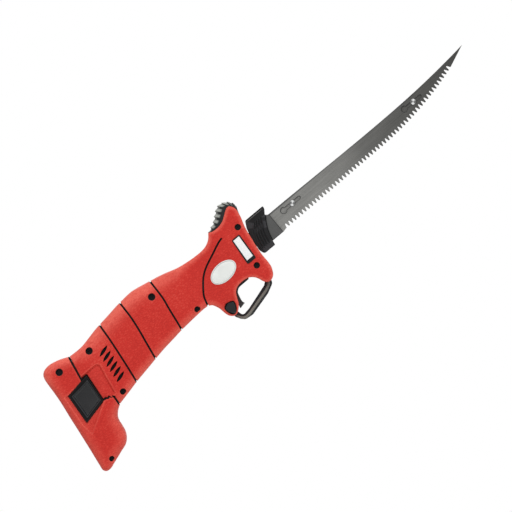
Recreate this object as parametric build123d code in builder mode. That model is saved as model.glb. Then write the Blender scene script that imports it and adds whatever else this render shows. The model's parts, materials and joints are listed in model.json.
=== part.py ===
from build123d import *
from math import atan2, cos, degrees, pi, radians, sin
import os

# Cordless twin-blade serrated knife. Millimetres.
# +X runs along the blades to their tips, +Z up to the spine side, Y across the handle.
# The origin is the middle of the nose face, on the blades' axis.

os.makedirs("parts", exist_ok=True)

# ---------------------------------------------------------------- driving dimensions
SKIN = 1.8  # red overmould thickness
WALL = 2.4  # hard shell thickness
GAP = 0.3  # clearance between pieces that slide past each other
HEAD_HALF = 21.0
GRIP_HALF = 22.0
FOOT_HALF = 25.0

BLADE_THICK = 1.2
BLADE_GAP = 0.1  # each blade stands this far from the middle plane
TOOTH_PITCH = 4.05
TOOTH_COUNT = 53
STROKE = 4.0  # each blade moves this far either way
RIVET_X = (47.0, 193.0)
RIVET_Z = 2.0
KEYHOLE_LEAD = 10.5  # entry hole stands this far behind the rivet

MOTOR_Z = 6.0
MOTOR_REAR = -172.0
MOTOR_FRONT = -120.0
MOTOR_R = 16.5
SHAFT_R = 1.6

WHEEL_X = -58.0
WHEEL_TEETH = 20
GEAR_MODULE = 1.0
WHEEL_PITCH_R = WHEEL_TEETH * GEAR_MODULE / 2
WORM_PITCH_R = 4.0
WHEEL_Z = MOTOR_Z - WORM_PITCH_R - WHEEL_PITCH_R
WORM_PITCH = pi * GEAR_MODULE
WORM_LENGTH = 15.0
MESH_DEPTH = 0.6  # tooth and thread height above the pitch line
CRANK_Y = 8.0  # crank pins start this far from the middle plane
YOKE_Y = 11.0  # yoke plates start here, beyond the ends of the pins
YOKE_THICK = 2.5

TRIGGER_HALF = 6.0
SLOT_HALF = 6.3
GUARD_HALF = 8.5
SAFETY_X = -58.5
SAFETY_Z = -36.5
TRIGGER_TRAVEL = 3.0

CELL_R = 9.1
CELL_LENGTH = 65.0
FOOT_TILT = 7.97  # lean of the flat battery base
CELL_X = -224.2
CELL_Z = -24.0

SCREWS = [
    (-6.0, 17.3),
    (-15.2, -21.0),
    (-108.3, 19.0),
    (-83.3, -17.0),
    (-184.5, 18.0),
    (-184.5, -31.0),
]
SCREW_HEAD_R = 2.9
SCREW_R = 1.5
BOSS_R = 3.0
SCREW_END = 13.5  # tips of the screws, on the left of the middle plane
SCREW_SEAT = 15.0  # underside of the housing screws' heads, on the right
BATTERY_SEAT = 17.0
SCREW_HEAD_TALL = 2.4


def save(builder, label):
    """Write one finished piece to its own file."""
    builder.part.label = label
    export_step(builder.part, "parts/" + label + ".step")


# ---------------------------------------------------------------- handle volumes
GRIP_STATIONS = [
    (-207.0, 25.8, -42.0),
    (-188.0, 25.4, -36.3),
    (-165.0, 30.0, -31.2),
    (-143.0, 33.2, -27.1),
    (-120.0, 35.0, -23.9),
    (-98.0, 31.0, -21.7),
    (-78.0, 25.9, -20.6),
    (-62.0, 22.6, -20.0),
]
GRIP_TOP_R = 11.0
GRIP_BOTTOM_R = 5.0

HEAD_OUTLINE = [
    (-75.0, 25.2),
    (-54.0, 21.0),
    (-38.0, 22.8),
    (-29.5, 31.2),
    (-21.0, 27.6),
    (-1.0, 39.4),
    (4.6, 31.0),
    (-2.0, 6.0),
    (-5.0, -18.0),
    (-5.5, -31.0),
    (-12.0, -40.6),
    (-19.5, -38.2),
    (-23.5, -25.5),
    (-43.0, -22.6),
    (-50.5, -38.0),
    (-60.0, -45.2),
    (-66.5, -37.0),
    (-68.5, -20.5),
    (-75.0, -20.4),
]
HEAD_RADII = [0, 60, 14, 1.6, 9, 4, 4, 40, 40, 8, 3.2, 3.2, 5, 6, 20, 4.5, 10, 4, 0]

FOOT_OUTLINE = [
    (-203.0, 25.7),
    (-221.0, 33.2),
    (-230.9, 31.5),
    (-246.4, -79.8),
    (-213.5, -70.5),
    (-206.3, -47.0),
    (-195.4, -37.6),
    (-194.2, -27.0),
    (-199.0, -25.6),
    (-203.8, -25.2),
    (-200.6, 2.0),
    (-207.5, 2.0),
]
FOOT_RADII = [0, 15, 6, 3.8, 9, 14, 0, 0, 0, 0, 0, 0]


def grip_core(inset):
    """Grip between the head and the battery, shrunk all round by inset."""
    with BuildPart() as core:
        for x, top, bottom in GRIP_STATIONS:
            with BuildSketch(Plane.YZ.offset(x)) as ring:
                with Locations((0, (top + bottom) / 2)):
                    Rectangle(2 * (GRIP_HALF - inset), top - bottom - 2 * inset)
                fillet(ring.vertices().group_by(Axis.Y)[-1], GRIP_TOP_R - inset)
                fillet(ring.vertices().group_by(Axis.Y)[0], max(GRIP_BOTTOM_R - inset, 0.8))
        loft()
    return core.part


def plate_core(outline, radii, half_width, inset, edge_radius):
    """A side outline carried across the handle, shrunk all round by inset."""
    with BuildPart() as core:
        with BuildSketch(Plane.XZ):
            with BuildLine():
                FilletPolyline(*outline, radius=radii, close=True)
            make_face()
            if inset > 0:
                offset(amount=-inset, mode=Mode.REPLACE)
        extrude(amount=half_width - inset, both=True)
        if edge_radius > 0:
            fillet(core.faces().filter_by(Axis.Y).edges(), edge_radius)
    return core.part


def handle_core(inset, edge_radius):
    """Head and grip in one volume."""
    with BuildPart() as core:
        add(grip_core(inset))
        add(plate_core(HEAD_OUTLINE, HEAD_RADII, HEAD_HALF, inset, edge_radius))
    return core.part


def main_solid(part):
    """The largest solid of a piece, without the slivers that cuts leave behind."""
    with BuildPart() as whole:
        add(part.solids().sort_by(SortBy.VOLUME)[-1])
    return whole


def prism(points, half_width):
    """A straight-sided outline on the side plane, carried both ways across."""
    with BuildPart() as block:
        with BuildSketch(Plane.XZ):
            Polygon(*points, align=None)
        extrude(amount=half_width, both=True)
    return block.part


def box_between(low, high):
    """A plain block given by two opposite corners."""
    with BuildPart() as block:
        with Locations(tuple((a + b) / 2 for a, b in zip(low, high))):
            Box(*(b - a for a, b in zip(low, high)))
    return block.part


def rod(start, end, radius):
    """A round bar between two points."""
    with BuildPart() as bar:
        with BuildSketch(Plane(origin=start, z_dir=Vector(*end) - Vector(*start))):
            Circle(radius)
        extrude(amount=(Vector(*end) - Vector(*start)).length)
    return bar.part


def foot_core(inset, edge_radius):
    """Battery foot volume, shrunk all round by inset."""
    return plate_core(FOOT_OUTLINE, FOOT_RADII, FOOT_HALF, inset, edge_radius)


# Everything behind this line belongs to the battery; the handle stops a gap short of it.
SEAM = [
    (-203.0, 60.0),
    (-203.0, 25.7),
    (-207.5, 2.0),
    (-200.6, 2.0),
    (-203.8, -25.2),
    (-199.0, -25.6),
    (-194.2, -27.0),
    (-195.4, -37.6),
    (-195.4, -70.0),
]
behind_seam = prism([(x + GAP, z + GAP / 2) for x, z in SEAM] + [(-270.0, -70.0), (-270.0, 60.0)], 40)

# ---------------------------------------------------------------- openings shared by skin and shell
# Nose socket for the blade grips, trigger slot, guard pockets, vents and screws.
SOCKET = [
    (6.0, 18.8),
    (-2.4, 18.8),
    (-3.3, 15.2),
    (-5.2, 12.0),
    (-8.4, 0.0),
    (-9.4, -12.0),
    (-9.0, -18.6),
    (6.0, -18.6),
]
SOCKET_HALF = 10.5
TRIGGER_SLOT = [
    (-27.0, -50.0),
    (-27.0, -22.0),
    (-57.8, -22.0),
    (-57.8, -33.0),
    (-55.6, -34.5),
    (-55.6, -50.0),
]
GUARD_OUTLINE = [
    (-62.0, -40.6),
    (-60.4, -46.0),
    (-55.5, -52.6),
    (-47.0, -53.6),
    (-24.0, -47.6),
    (-14.6, -43.0),
    (-12.2, -36.4),
    (-17.6, -36.0),
    (-22.0, -39.6),
    (-46.0, -46.9),
    (-54.6, -48.4),
    (-56.4, -40.6),
]
GUARD_RADII = [0, 6, 5, 8, 14, 5, 0, 0, 5, 12, 3, 0]

with BuildPart() as trigger_guard:
    with BuildSketch(Plane.XZ):
        with BuildLine():
            FilletPolyline(*GUARD_OUTLINE, radius=GUARD_RADII, close=True)
        make_face()
    extrude(amount=GUARD_HALF, both=True)
    chamfer(trigger_guard.faces().filter_by(Axis.Y).edges(), 1.2)
save(trigger_guard, "trigger_guard")

VENT_START = (-174.6, 9.4)
VENT_STEP = (-0.55, -5.6)
VENT_TILT = 16.0
with BuildPart() as vents:
    with BuildSketch(Plane.XZ):
        for vent in range(6):
            with Locations((VENT_START[0] + vent * VENT_STEP[0], VENT_START[1] + vent * VENT_STEP[1])):
                SlotOverall(13.0, 2.8, rotation=VENT_TILT)
    extrude(amount=40, both=True)

SAFETY_OUTLINE = [
    (-58.0, -30.6),
    (-62.8, -33.0),
    (-62.6, -37.0),
    (-59.8, -41.8),
    (-57.4, -41.6),
    (-54.0, -36.4),
    (-53.8, -32.6),
]
CAP_POCKET_Y = 17.2

with BuildPart() as safety_pocket:
    with BuildSketch(Plane.XZ.offset(CAP_POCKET_Y)) as pocket_sketch:
        Polygon(*SAFETY_OUTLINE, align=None)
        offset(amount=0.3, mode=Mode.REPLACE)
    extrude(amount=20)

with BuildPart() as openings:
    add(prism(SOCKET, SOCKET_HALF))
    add(safety_pocket.part)
    add(prism(TRIGGER_SLOT, SLOT_HALF))
    add(trigger_guard.part)
    add(vents.part)
    with BuildSketch(Plane.XZ.offset(-40)):
        with Locations((SAFETY_X, SAFETY_Z)):
            Circle(3.1)
    extrude(amount=80)

# ---------------------------------------------------------------- red overmould skins
GROOVES = [
    [(-100.3, 40.0), (-100.3, 28.0), (-103.0, 0.0), (-107.6, -30.0)],
    [(-134.3, 42.0), (-134.9, 22.0), (-138.0, -5.0), (-142.8, -34.0)],
    [(-161.3, 40.0), (-162.2, 20.0), (-165.6, -8.0), (-169.8, -38.0)],
    [(-24.0, 19.2), (-50.0, 8.8), (-65.0, -3.2), (-74.0, -24.0)],
]
GROOVE_WIDTH = 1.8
GROOVE_DEPTH = 1.3

with BuildPart() as groove_bands:
    for points in GROOVES:
        with BuildSketch(Plane.XZ):
            with BuildLine():
                Spline(*points)
            trace(line_width=GROOVE_WIDTH)
        extrude(amount=40, both=True)
    floor_y = GRIP_HALF - GROOVE_DEPTH
    add(box_between((-230, -floor_y, -80), (10, floor_y, 60)), mode=Mode.SUBTRACT)

outer_handle = handle_core(0, 2.6)
shell_core = handle_core(SKIN, 1.2)

with BuildPart() as handle_skin:
    add(outer_handle)
    add(shell_core, mode=Mode.SUBTRACT)
    add(behind_seam, mode=Mode.SUBTRACT)
    add(openings.part, mode=Mode.SUBTRACT)
    add(groove_bands.part, mode=Mode.SUBTRACT)
    with BuildSketch(Plane.XZ.offset(SCREW_SEAT)):
        with Locations(*SCREWS):
            Circle(SCREW_HEAD_R + 0.4)
    extrude(amount=20, mode=Mode.SUBTRACT)

RIGHT_HALF = box_between((-300, -60, -100), (60, 0, 100))
LEFT_HALF = box_between((-300, 0, -100), (60, 60, 100))
for side, half in (("right", RIGHT_HALF), ("left", LEFT_HALF)):
    with BuildPart() as grip_skin:
        add(handle_skin.part)
        add(half, mode=Mode.INTERSECT)
    save(main_solid(grip_skin.part), "grip_skin_" + side)

# ---------------------------------------------------------------- hard shells
CAVITY = [
    (-10.0, 17.0),
    (-30.0, 19.5),
    (-60.0, 17.8),
    (-98.0, 26.0),
    (-122.0, 29.8),
    (-145.0, 28.0),
    (-168.0, 24.6),
    (-200.0, 20.6),
    (-203.0, 2.5),
    (-196.0, 2.5),
    (-198.5, -22.0),
    (-190.5, -22.0),
    (-191.5, -31.6),
    (-168.0, -26.6),
    (-140.0, -22.0),
    (-100.0, -17.0),
    (-72.0, -16.4),
    (-66.8, -21.5),
    (-65.0, -25.0),
    (-63.6, -30.6),
    (-52.0, -30.6),
    (-52.0, -19.6),
    (-14.0, -19.0),
    (-10.0, -14.0),
]
CAVITY_HALF = HEAD_HALF - SKIN - WALL
tongue_way = box_between((-212, -11.0, -11.0), (-180, 11.0, 9.0))
tang_way = box_between((-11, -9.5, -8.0), (0, 9.5, 8.0))

with BuildPart() as shell:
    add(shell_core)
    add(prism(CAVITY, CAVITY_HALF), mode=Mode.SUBTRACT)
    with BuildSketch(Plane.XZ.offset(-(CAVITY_HALF + 0.5))):
        with Locations(*SCREWS):
            Circle(BOSS_R)
    extrude(amount=2 * CAVITY_HALF + 1)
    add(shell_core, mode=Mode.INTERSECT)
    add(behind_seam, mode=Mode.SUBTRACT)
    add(openings.part, mode=Mode.SUBTRACT)
    add(tongue_way, mode=Mode.SUBTRACT)
    add(tang_way, mode=Mode.SUBTRACT)
    with BuildSketch(Plane.XZ.offset(-14)):
        with Locations(*SCREWS):
            Circle(SCREW_R)
    extrude(amount=40, mode=Mode.SUBTRACT)
    with BuildSketch(Plane.XZ.offset(SCREW_SEAT)):
        with Locations(*SCREWS):
            Circle(SCREW_HEAD_R + 0.1)
    extrude(amount=20, mode=Mode.SUBTRACT)
for side, half in (("right", RIGHT_HALF), ("left", LEFT_HALF)):
    with BuildPart() as housing:
        add(shell.part)
        add(half, mode=Mode.INTERSECT)
    save(main_solid(housing.part), "housing_" + side)

with BuildPart() as housing_screws:
    with BuildSketch(Plane.XZ.offset(-SCREW_END)):
        with Locations(*SCREWS):
            Circle(SCREW_R)
    extrude(amount=SCREW_END + SCREW_SEAT)
    with BuildSketch(Plane.XZ.offset(SCREW_SEAT)):
        with Locations(*SCREWS):
            Circle(SCREW_HEAD_R)
    extrude(amount=SCREW_HEAD_TALL)
    with BuildSketch(Plane.XZ.offset(SCREW_SEAT + SCREW_HEAD_TALL / 2)):
        with Locations(*SCREWS):
            Rectangle(3.6, 0.8)
            Rectangle(0.8, 3.6)
    extrude(amount=SCREW_HEAD_TALL, mode=Mode.SUBTRACT)
save(housing_screws, "housing_screws")

# ---------------------------------------------------------------- thumb rest, badges and plates
THUMB_OUTLINE = [
    (-30.4, 29.0),
    (-30.4, 31.2),
    (-25.0, 33.6),
    (-20.8, 36.2),
    (-20.2, 34.6),
    (-16.8, 38.4),
    (-15.6, 37.4),
    (-12.2, 41.6),
    (-10.6, 40.6),
    (-6.4, 44.4),
    (-5.2, 42.6),
    (-0.8, 43.6),
    (0.4, 41.2),
    (3.2, 40.2),
    (3.2, 38.0),
    (5.9, 35.6),
    (4.6, 33.0),
    (4.6, 29.6),
    (3.4, 27.0),
    (-8.0, 27.0),
]
with BuildPart() as thumb_rest:
    with BuildSketch(Plane.XZ):
        Polygon(*THUMB_OUTLINE, align=None)
    extrude(amount=HEAD_HALF - 3, both=True)
    add(outer_handle, mode=Mode.SUBTRACT)
save(thumb_rest, "thumb_rest")

BADGE = (-42.8, -6.0)
BADGE_LONG, BADGE_TALL = 14.0, 8.6
BADGE_TILT = 3.5
PLATE_POINTS = [(-18.3, 11.5), (-9.2, 11.5), (-11.0, -15.0), (-21.0, -15.0)]
for side, sign in (("right", 1), ("left", -1)):
    with BuildPart() as badge:
        with BuildSketch(Plane.XZ.offset(sign * HEAD_HALF)):
            with Locations(Location((BADGE[0], BADGE[1], 0), (0, 0, BADGE_TILT))):
                Ellipse(BADGE_LONG, BADGE_TALL)
        extrude(amount=sign * 0.8)
    save(badge, "badge_" + side)
    with BuildPart() as side_plate:
        with BuildSketch(Plane.XZ.offset(sign * HEAD_HALF)) as plate_sketch:
            Polygon(*PLATE_POINTS, align=None)
            fillet(plate_sketch.vertices(), 1.5)
        extrude(amount=sign * 0.6)
    save(side_plate, "side_plate_" + side)

# ---------------------------------------------------------------- motor
MAGNET_IN_R = 12.5
ARMATURE_R = 12.0
COMMUTATOR_R = 4.5
BRUSH_OUT = 11.0  # the brushes end this far from the motor's axis


def axial(start_x, end_x, radius, bore=0.0, z=MOTOR_Z):
    """A disc or tube along the knife on the motor's axis."""
    with BuildPart() as ring:
        with BuildSketch(Plane.YZ.offset(start_x)):
            with Locations((0, z)):
                Circle(radius)
                if bore > 0:
                    Circle(bore, mode=Mode.SUBTRACT)
        extrude(amount=end_x - start_x)
    return ring.part


with BuildPart() as motor_can:
    add(axial(MOTOR_REAR, MOTOR_FRONT, MOTOR_R, SHAFT_R + 0.05))
    add(axial(MOTOR_REAR, MOTOR_FRONT - 2, MOTOR_R - 1.5), mode=Mode.SUBTRACT)
    add(axial(MOTOR_FRONT, MOTOR_FRONT + 3, 5.5, SHAFT_R + 0.05))
save(motor_can, "motor_can")

with BuildPart() as motor_magnets:
    add(axial(-162, -128, MOTOR_R - 1.5, MAGNET_IN_R))
    for sign in (-1, 1):
        gap_z = MOTOR_Z + sign * 13
        add(box_between((-170, -8, gap_z - 7), (-120, 8, gap_z + 7)), mode=Mode.SUBTRACT)
save(motor_magnets, "motor_magnets")

with BuildPart() as motor_end_bell:
    add(axial(MOTOR_REAR - 6, MOTOR_REAR, MOTOR_R, SHAFT_R + 0.05))
    for sign in (-1, 1):
        low, high = sorted((MOTOR_Z + sign * BRUSH_OUT, MOTOR_Z + sign * (BRUSH_OUT + 3)))
        add(box_between((MOTOR_REAR, -3.0, low), (MOTOR_REAR + 7, 3.0, high)))
save(motor_end_bell, "motor_end_bell")

with BuildPart() as brushes:
    for sign in (-1, 1):
        low, high = sorted((MOTOR_Z + sign * (COMMUTATOR_R + 0.1), MOTOR_Z + sign * BRUSH_OUT))
        add(box_between((MOTOR_REAR + 2, -2.0, low), (MOTOR_REAR + 6, 2.0, high)))
save(brushes, "brushes")

with BuildPart() as rotor_shaft:
    add(axial(-180, -43.5, SHAFT_R))
    chamfer(rotor_shaft.faces().filter_by(Axis.X).edges(), 0.4)
save(rotor_shaft, "rotor_shaft")

with BuildPart() as armature:
    add(axial(-160, -130, ARMATURE_R, SHAFT_R))
    with BuildSketch(Plane.YZ.offset(-161)):
        with Locations((0, MOTOR_Z)):
            with PolarLocations(9.0, 8):
                Rectangle(8.0, 2.4)
    extrude(amount=32, mode=Mode.SUBTRACT)
save(armature, "armature")

with BuildPart() as armature_windings:
    for start, end in ((-164.0, -160.0), (-130.0, -126.0)):
        add(axial(start, end, 10.0, 3.0))
    fillet(armature_windings.edges().filter_by(GeomType.CIRCLE).group_by(SortBy.RADIUS)[-1], 1.5)
save(armature_windings, "armature_windings")

with BuildPart() as commutator:
    add(axial(-171, -165, COMMUTATOR_R, SHAFT_R))
    with BuildSketch(Plane.YZ.offset(-171)):
        with Locations((0, MOTOR_Z)):
            with PolarLocations(COMMUTATOR_R, 8):
                Rectangle(1.2, 0.5)
    extrude(amount=6, mode=Mode.SUBTRACT)
save(commutator, "commutator")

FAN_X = -115.6
FAN_LENGTH = 3.6
with BuildPart() as cooling_fan:
    add(axial(FAN_X, FAN_X + FAN_LENGTH, 4.0, SHAFT_R))
    with BuildSketch(Plane.YZ.offset(FAN_X)):
        with Locations((0, MOTOR_Z)):
            with PolarLocations(8.2, 9):
                Rectangle(9.0, 1.2, rotation=12)
    extrude(amount=FAN_LENGTH)
save(cooling_fan, "cooling_fan")

# ---------------------------------------------------------------- worm, wheel and crank
LEAD_ANGLE = 7.13  # of the one-start worm at its pitch radius
WORM_TURNS = 5
worm_core_r = WORM_PITCH_R - MESH_DEPTH - 0.5
thread_rise = WORM_PITCH_R + MESH_DEPTH - worm_core_r
# A crest stands below the shaft, over the gap at the top of the wheel.
with BuildPart() as worm:
    add(axial(WHEEL_X - WORM_LENGTH / 2, WHEEL_X + WORM_LENGTH / 2, worm_core_r, SHAFT_R))
    with BuildLine() as thread_path:
        Helix(
            WORM_PITCH,
            WORM_TURNS * WORM_PITCH,
            worm_core_r - 0.2,
            center=(WHEEL_X - WORM_TURNS * WORM_PITCH / 2, 0, MOTOR_Z),
            direction=(1, 0, 0),
        )
    with BuildSketch(Plane(origin=thread_path.line @ 0, x_dir=(1, 0, 0), z_dir=thread_path.line % 0)):
        Polygon((-0.8, 0), (0.8, 0), (0.35, thread_rise + 0.2), (-0.35, thread_rise + 0.2), align=None)
    sweep(path=thread_path.line, is_frenet=True)
save(worm, "worm")

WHEEL_HALF = 2.5
TOOTH_ROOT_R = WHEEL_PITCH_R - 1.2
CRANK_CORE_R = 4.0
JOURNAL_R = 5.0
with BuildPart() as worm_wheel:
    with BuildSketch(Plane.XZ.offset(-WHEEL_HALF)):
        with Locations((WHEEL_X, WHEEL_Z)):
            Circle(WHEEL_PITCH_R + MESH_DEPTH)
            Circle(CRANK_CORE_R, mode=Mode.SUBTRACT)
    extrude(amount=2 * WHEEL_HALF)
    for tooth in range(WHEEL_TEETH):
        turn = tooth * 360 / WHEEL_TEETH
        root_x = WHEEL_X + TOOTH_ROOT_R * sin(radians(turn))
        root_z = WHEEL_Z + TOOTH_ROOT_R * cos(radians(turn))
        middle = Plane(
            origin=(root_x, 0, root_z),
            x_dir=(cos(radians(turn)), 0, -sin(radians(turn))),
            z_dir=(0, -1, 0),
        )
        with BuildSketch(middle.rotated((0, LEAD_ANGLE, 0)).offset(-WHEEL_HALF - 2)):
            Polygon((-0.75, 0), (0.75, 0), (1.35, 3.0), (-1.35, 3.0), align=None)
        extrude(amount=2 * WHEEL_HALF + 4, mode=Mode.SUBTRACT)
save(worm_wheel, "worm_wheel")

with BuildPart() as crankshaft:
    add(rod((WHEEL_X, -WHEEL_HALF, WHEEL_Z), (WHEEL_X, WHEEL_HALF, WHEEL_Z), CRANK_CORE_R))
    for sign in (-1, 1):
        add(rod((WHEEL_X, sign * WHEEL_HALF, WHEEL_Z), (WHEEL_X, sign * 6.0, WHEEL_Z), JOURNAL_R))
        add(rod((WHEEL_X, sign * 6.0, WHEEL_Z), (WHEEL_X, sign * CRANK_Y, WHEEL_Z), 8.0))
        pin_z = WHEEL_Z - sign * STROKE
        add(rod((WHEEL_X, sign * CRANK_Y, pin_z), (WHEEL_X, sign * (YOKE_Y - 0.3), pin_z), 2.5))
save(crankshaft, "crankshaft")

ROD_Y = 7.0
ROD_Z = 5.5
ROD_R = 1.5
guide_spots = [(y, z) for y in (-ROD_Y, ROD_Y) for z in (-ROD_Z, ROD_Z)]
with BuildPart() as gearbox_frame:
    for sign in (-1, 1):
        low = min(sign * 3.0, sign * 5.6)
        add(box_between((-76.0, low, -13.8), (-43.0, low + 2.6, 0.8)))
    add(box_between((-76.0, -8.0, -12.0), (-72.0, 8.0, 12.0)))
    add(box_between((-46.0, -9.5, -12.0), (-43.0, 9.5, 12.0)))
    add(rod((WHEEL_X, -7, WHEEL_Z), (WHEEL_X, 7, WHEEL_Z), JOURNAL_R + 0.05), mode=Mode.SUBTRACT)
    add(axial(-77, -42, SHAFT_R + 0.05), mode=Mode.SUBTRACT)
    for y, z in guide_spots:
        add(rod((-47, y, z), (-42, y, z), ROD_R), mode=Mode.SUBTRACT)
save(gearbox_frame, "gearbox_frame")

with BuildPart() as blade_guide:
    add(box_between((-12.8, -14.0, -12.0), (-10.1, 14.0, 12.0)))
    add(box_between((-14, -1.7, -7.6), (-9, 1.7, 7.6)), mode=Mode.SUBTRACT)
    for y, z in guide_spots:
        add(rod((-14, y, z), (-9, y, z), ROD_R), mode=Mode.SUBTRACT)
save(blade_guide, "blade_guide")

with BuildPart() as guide_rods:
    for y, z in guide_spots:
        add(rod((-46, y, z), (-10.1, y, z), ROD_R))
save(guide_rods, "guide_rods")

# ---------------------------------------------------------------- blades
TANG_END = -34.0
TANG_HALF = 7.0
DETENT_X = -26.0
EDGE_POINTS = [
    (241.0, 4.6),
    (225.0, -0.5),
    (208.0, -4.4),
    (188.0, -7.9),
    (165.0, -10.5),
    (130.0, -11.4),
    (80.0, -12.0),
    (27.5, -12.2),
]
GULLET = [(-1.9, -0.6), (-0.75, 3.5), (0, 4.1), (0.75, 3.5), (1.9, -0.6)]  # notch between two teeth
SPINE_POINTS = [(23.0, 8.3), (90.0, 7.6), (150.0, 7.2), (205.0, 8.5), (261.5, 13.3)]


def blade(phase):
    """Blade outline with its teeth, on the side plane; phase shifts the teeth along the edge."""
    with BuildSketch(Plane.XZ) as outline:
        with BuildLine():
            Polyline((27.5, -12.2), (24.0, -13.0), (14.0, -13.0), (9.0, -TANG_HALF), (TANG_END, -TANG_HALF))
            Line((TANG_END, -TANG_HALF), (TANG_END, TANG_HALF))
            Polyline((TANG_END, TANG_HALF), (9.0, TANG_HALF), (14.0, 8.3), (23.0, 8.3))
            Spline(*SPINE_POINTS, tangents=[(1, 0), (1, 0.12)])
            Line(SPINE_POINTS[-1], EDGE_POINTS[0])
            edge = Spline(*EDGE_POINTS)
        make_face()
        for tooth in range(TOOTH_COUNT):
            spot = edge @ ((tooth + phase) * TOOTH_PITCH / edge.length)
            way = edge % ((tooth + phase) * TOOTH_PITCH / edge.length)
            with Locations(Location((spot.X, spot.Y, 0), (0, 0, degrees(atan2(way.Y, way.X)) + 180))):
                Polygon(*GULLET, align=None, mode=Mode.SUBTRACT)
        with Locations((DETENT_X, 0)):
            Circle(1.6, mode=Mode.SUBTRACT)
    return outline.sketch


with BuildPart() as right_blade:
    with BuildSketch(Plane.XZ.offset(BLADE_GAP)):
        add(blade(0.5))
        for x in RIVET_X:
            with Locations((x - KEYHOLE_LEAD, RIVET_Z)):
                Circle(3.1, mode=Mode.SUBTRACT)
            with Locations((x - 1.0, RIVET_Z)):
                SlotOverall(2 * 2.0 * STROKE + 5.2, 3.2, mode=Mode.SUBTRACT)
    extrude(amount=BLADE_THICK)
save(right_blade, "right_blade")

with BuildPart() as left_blade:
    with BuildSketch(Plane.XZ.offset(-BLADE_GAP)):
        add(blade(0.62))
        for x in RIVET_X:
            with Locations((x, RIVET_Z)):
                Circle(SCREW_R, mode=Mode.SUBTRACT)
    extrude(amount=-BLADE_THICK)
save(left_blade, "left_blade")

RIVET_FACE = BLADE_GAP + BLADE_THICK
for label, x in (("front_rivet", RIVET_X[1]), ("rear_rivet", RIVET_X[0])):
    with BuildPart() as rivet:
        add(rod((x, -RIVET_FACE - 0.1, RIVET_Z), (x, RIVET_FACE, RIVET_Z), SCREW_R))
        add(rod((x, -RIVET_FACE - 1.0, RIVET_Z), (x, -RIVET_FACE - 0.1, RIVET_Z), 2.6))
        add(rod((x, RIVET_FACE, RIVET_Z), (x, RIVET_FACE + 0.9, RIVET_Z), 2.6))
    save(rivet, label)

# ---------------------------------------------------------------- blade grips and carriers
GRIP_OUTLINE = [
    (3.0, 17.6),
    (24.2, 17.6),
    (23.8, 14.6),
    (20.4, 10.0),
    (23.0, 8.3),
    (23.7, 8.0),
    (23.7, -13.0),
    (10.8, -13.0),
    (10.2, -17.3),
    (-2.6, -17.3),
    (-4.4, -12.0),
    (-3.3, 0.0),
    (-0.6, 11.0),
]
GRIP_RADII = [2.0, 0.8, 3, 1, 0, 0, 1, 0.5, 0.8, 3, 4, 10, 10]
GRIP_HALF_WIDTH = 9.0
SHROUD_DROP = 3.0  # front shroud is this much thinner than the ribbed part

for side, sign in (("right", 1), ("left", -1)):
    with BuildPart() as blade_grip:
        with BuildSketch(Plane.XZ.offset(sign * RIVET_FACE)):
            with BuildLine():
                FilletPolyline(*GRIP_OUTLINE, radius=GRIP_RADII, close=True)
            make_face()
        extrude(amount=sign * (GRIP_HALF_WIDTH - RIVET_FACE))
        with BuildSketch(Plane.XZ.offset(sign * (GRIP_HALF_WIDTH - SHROUD_DROP))):
            with BuildLine():
                ThreePointArc((21.5, 11.0), (14.2, -1.0), (10.6, -14.0))
                Polyline((10.6, -14.0), (30.0, -14.0), (30.0, 11.0), (21.5, 11.0))
            make_face()
        extrude(amount=sign * (SHROUD_DROP + 1), mode=Mode.SUBTRACT)
        with BuildSketch(Plane.XZ.offset(sign * (GRIP_HALF_WIDTH - 0.9))):
            for rib in range(4):
                with BuildLine() as rib_line:
                    ThreePointArc((16.4 - 2.6 * rib, 10.5), (9.8 - 2.6 * rib, -1.0), (7.4 - 2.6 * rib, -12.5))
                trace(rib_line.line, line_width=1.0)
        extrude(amount=sign * 2, mode=Mode.SUBTRACT)
    save(blade_grip, side + "_blade_grip")

CARRIER_FACE = RIVET_FACE + 0.1
BLOCK_OUT = YOKE_Y
for side, sign in (("right", -1), ("left", 1)):
    inner, outer = sorted((sign * CARRIER_FACE, sign * BLOCK_OUT))
    plate_low, plate_high = sorted((sign * YOKE_Y, sign * (YOKE_Y + YOKE_THICK)))
    with BuildPart() as carrier:
        add(box_between((-70.0, plate_low, -15.0), (-17.0, plate_high, 6.5)))
        add(box_between((-34.0, inner, -9.0), (-17.0, outer, 9.0)))
        with BuildSketch(Plane.XZ.offset(-20)):
            with Locations((WHEEL_X, WHEEL_Z)):
                SlotOverall(2 * STROKE + 5.2 + 0.4, 5.2, rotation=90)
        extrude(amount=40, mode=Mode.SUBTRACT)
        for z in (-ROD_Z, ROD_Z):
            add(rod((-35, sign * ROD_Y, z), (-16, sign * ROD_Y, z), ROD_R + 0.06), mode=Mode.SUBTRACT)
        add(rod((DETENT_X, sign * 1, 0), (DETENT_X, sign * 10.5, 0), ROD_R), mode=Mode.SUBTRACT)
    save(carrier, side + "_carrier")
    with BuildPart() as detent:
        add(rod((DETENT_X, sign * (CARRIER_FACE + 0.05), 0), (DETENT_X, sign * 10.5, 0), ROD_R))
    save(detent, side + "_detent")

# ---------------------------------------------------------------- trigger, switch and safety bolt
TRIGGER_OUTLINE = [
    (-28.6, -25.9),
    (-28.6, -23.2),
    (-47.0, -23.2),
    (-47.0, -29.8),
    (-50.8, -31.6),
    (-51.0, -36.5),
    (-52.5, -41.9),
    (-46.2, -40.4),
    (-47.2, -37.6),
    (-44.6, -26.0),
]
TRIGGER_RADII = [1, 1, 0.5, 1, 1, 3, 0.5, 0.5, 4, 7]
with BuildPart() as trigger:
    with BuildSketch(Plane.XZ):
        with BuildLine():
            FilletPolyline(*TRIGGER_OUTLINE, radius=TRIGGER_RADII, close=True)
        make_face()
    extrude(amount=TRIGGER_HALF, both=True)
save(trigger, "trigger")

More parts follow.
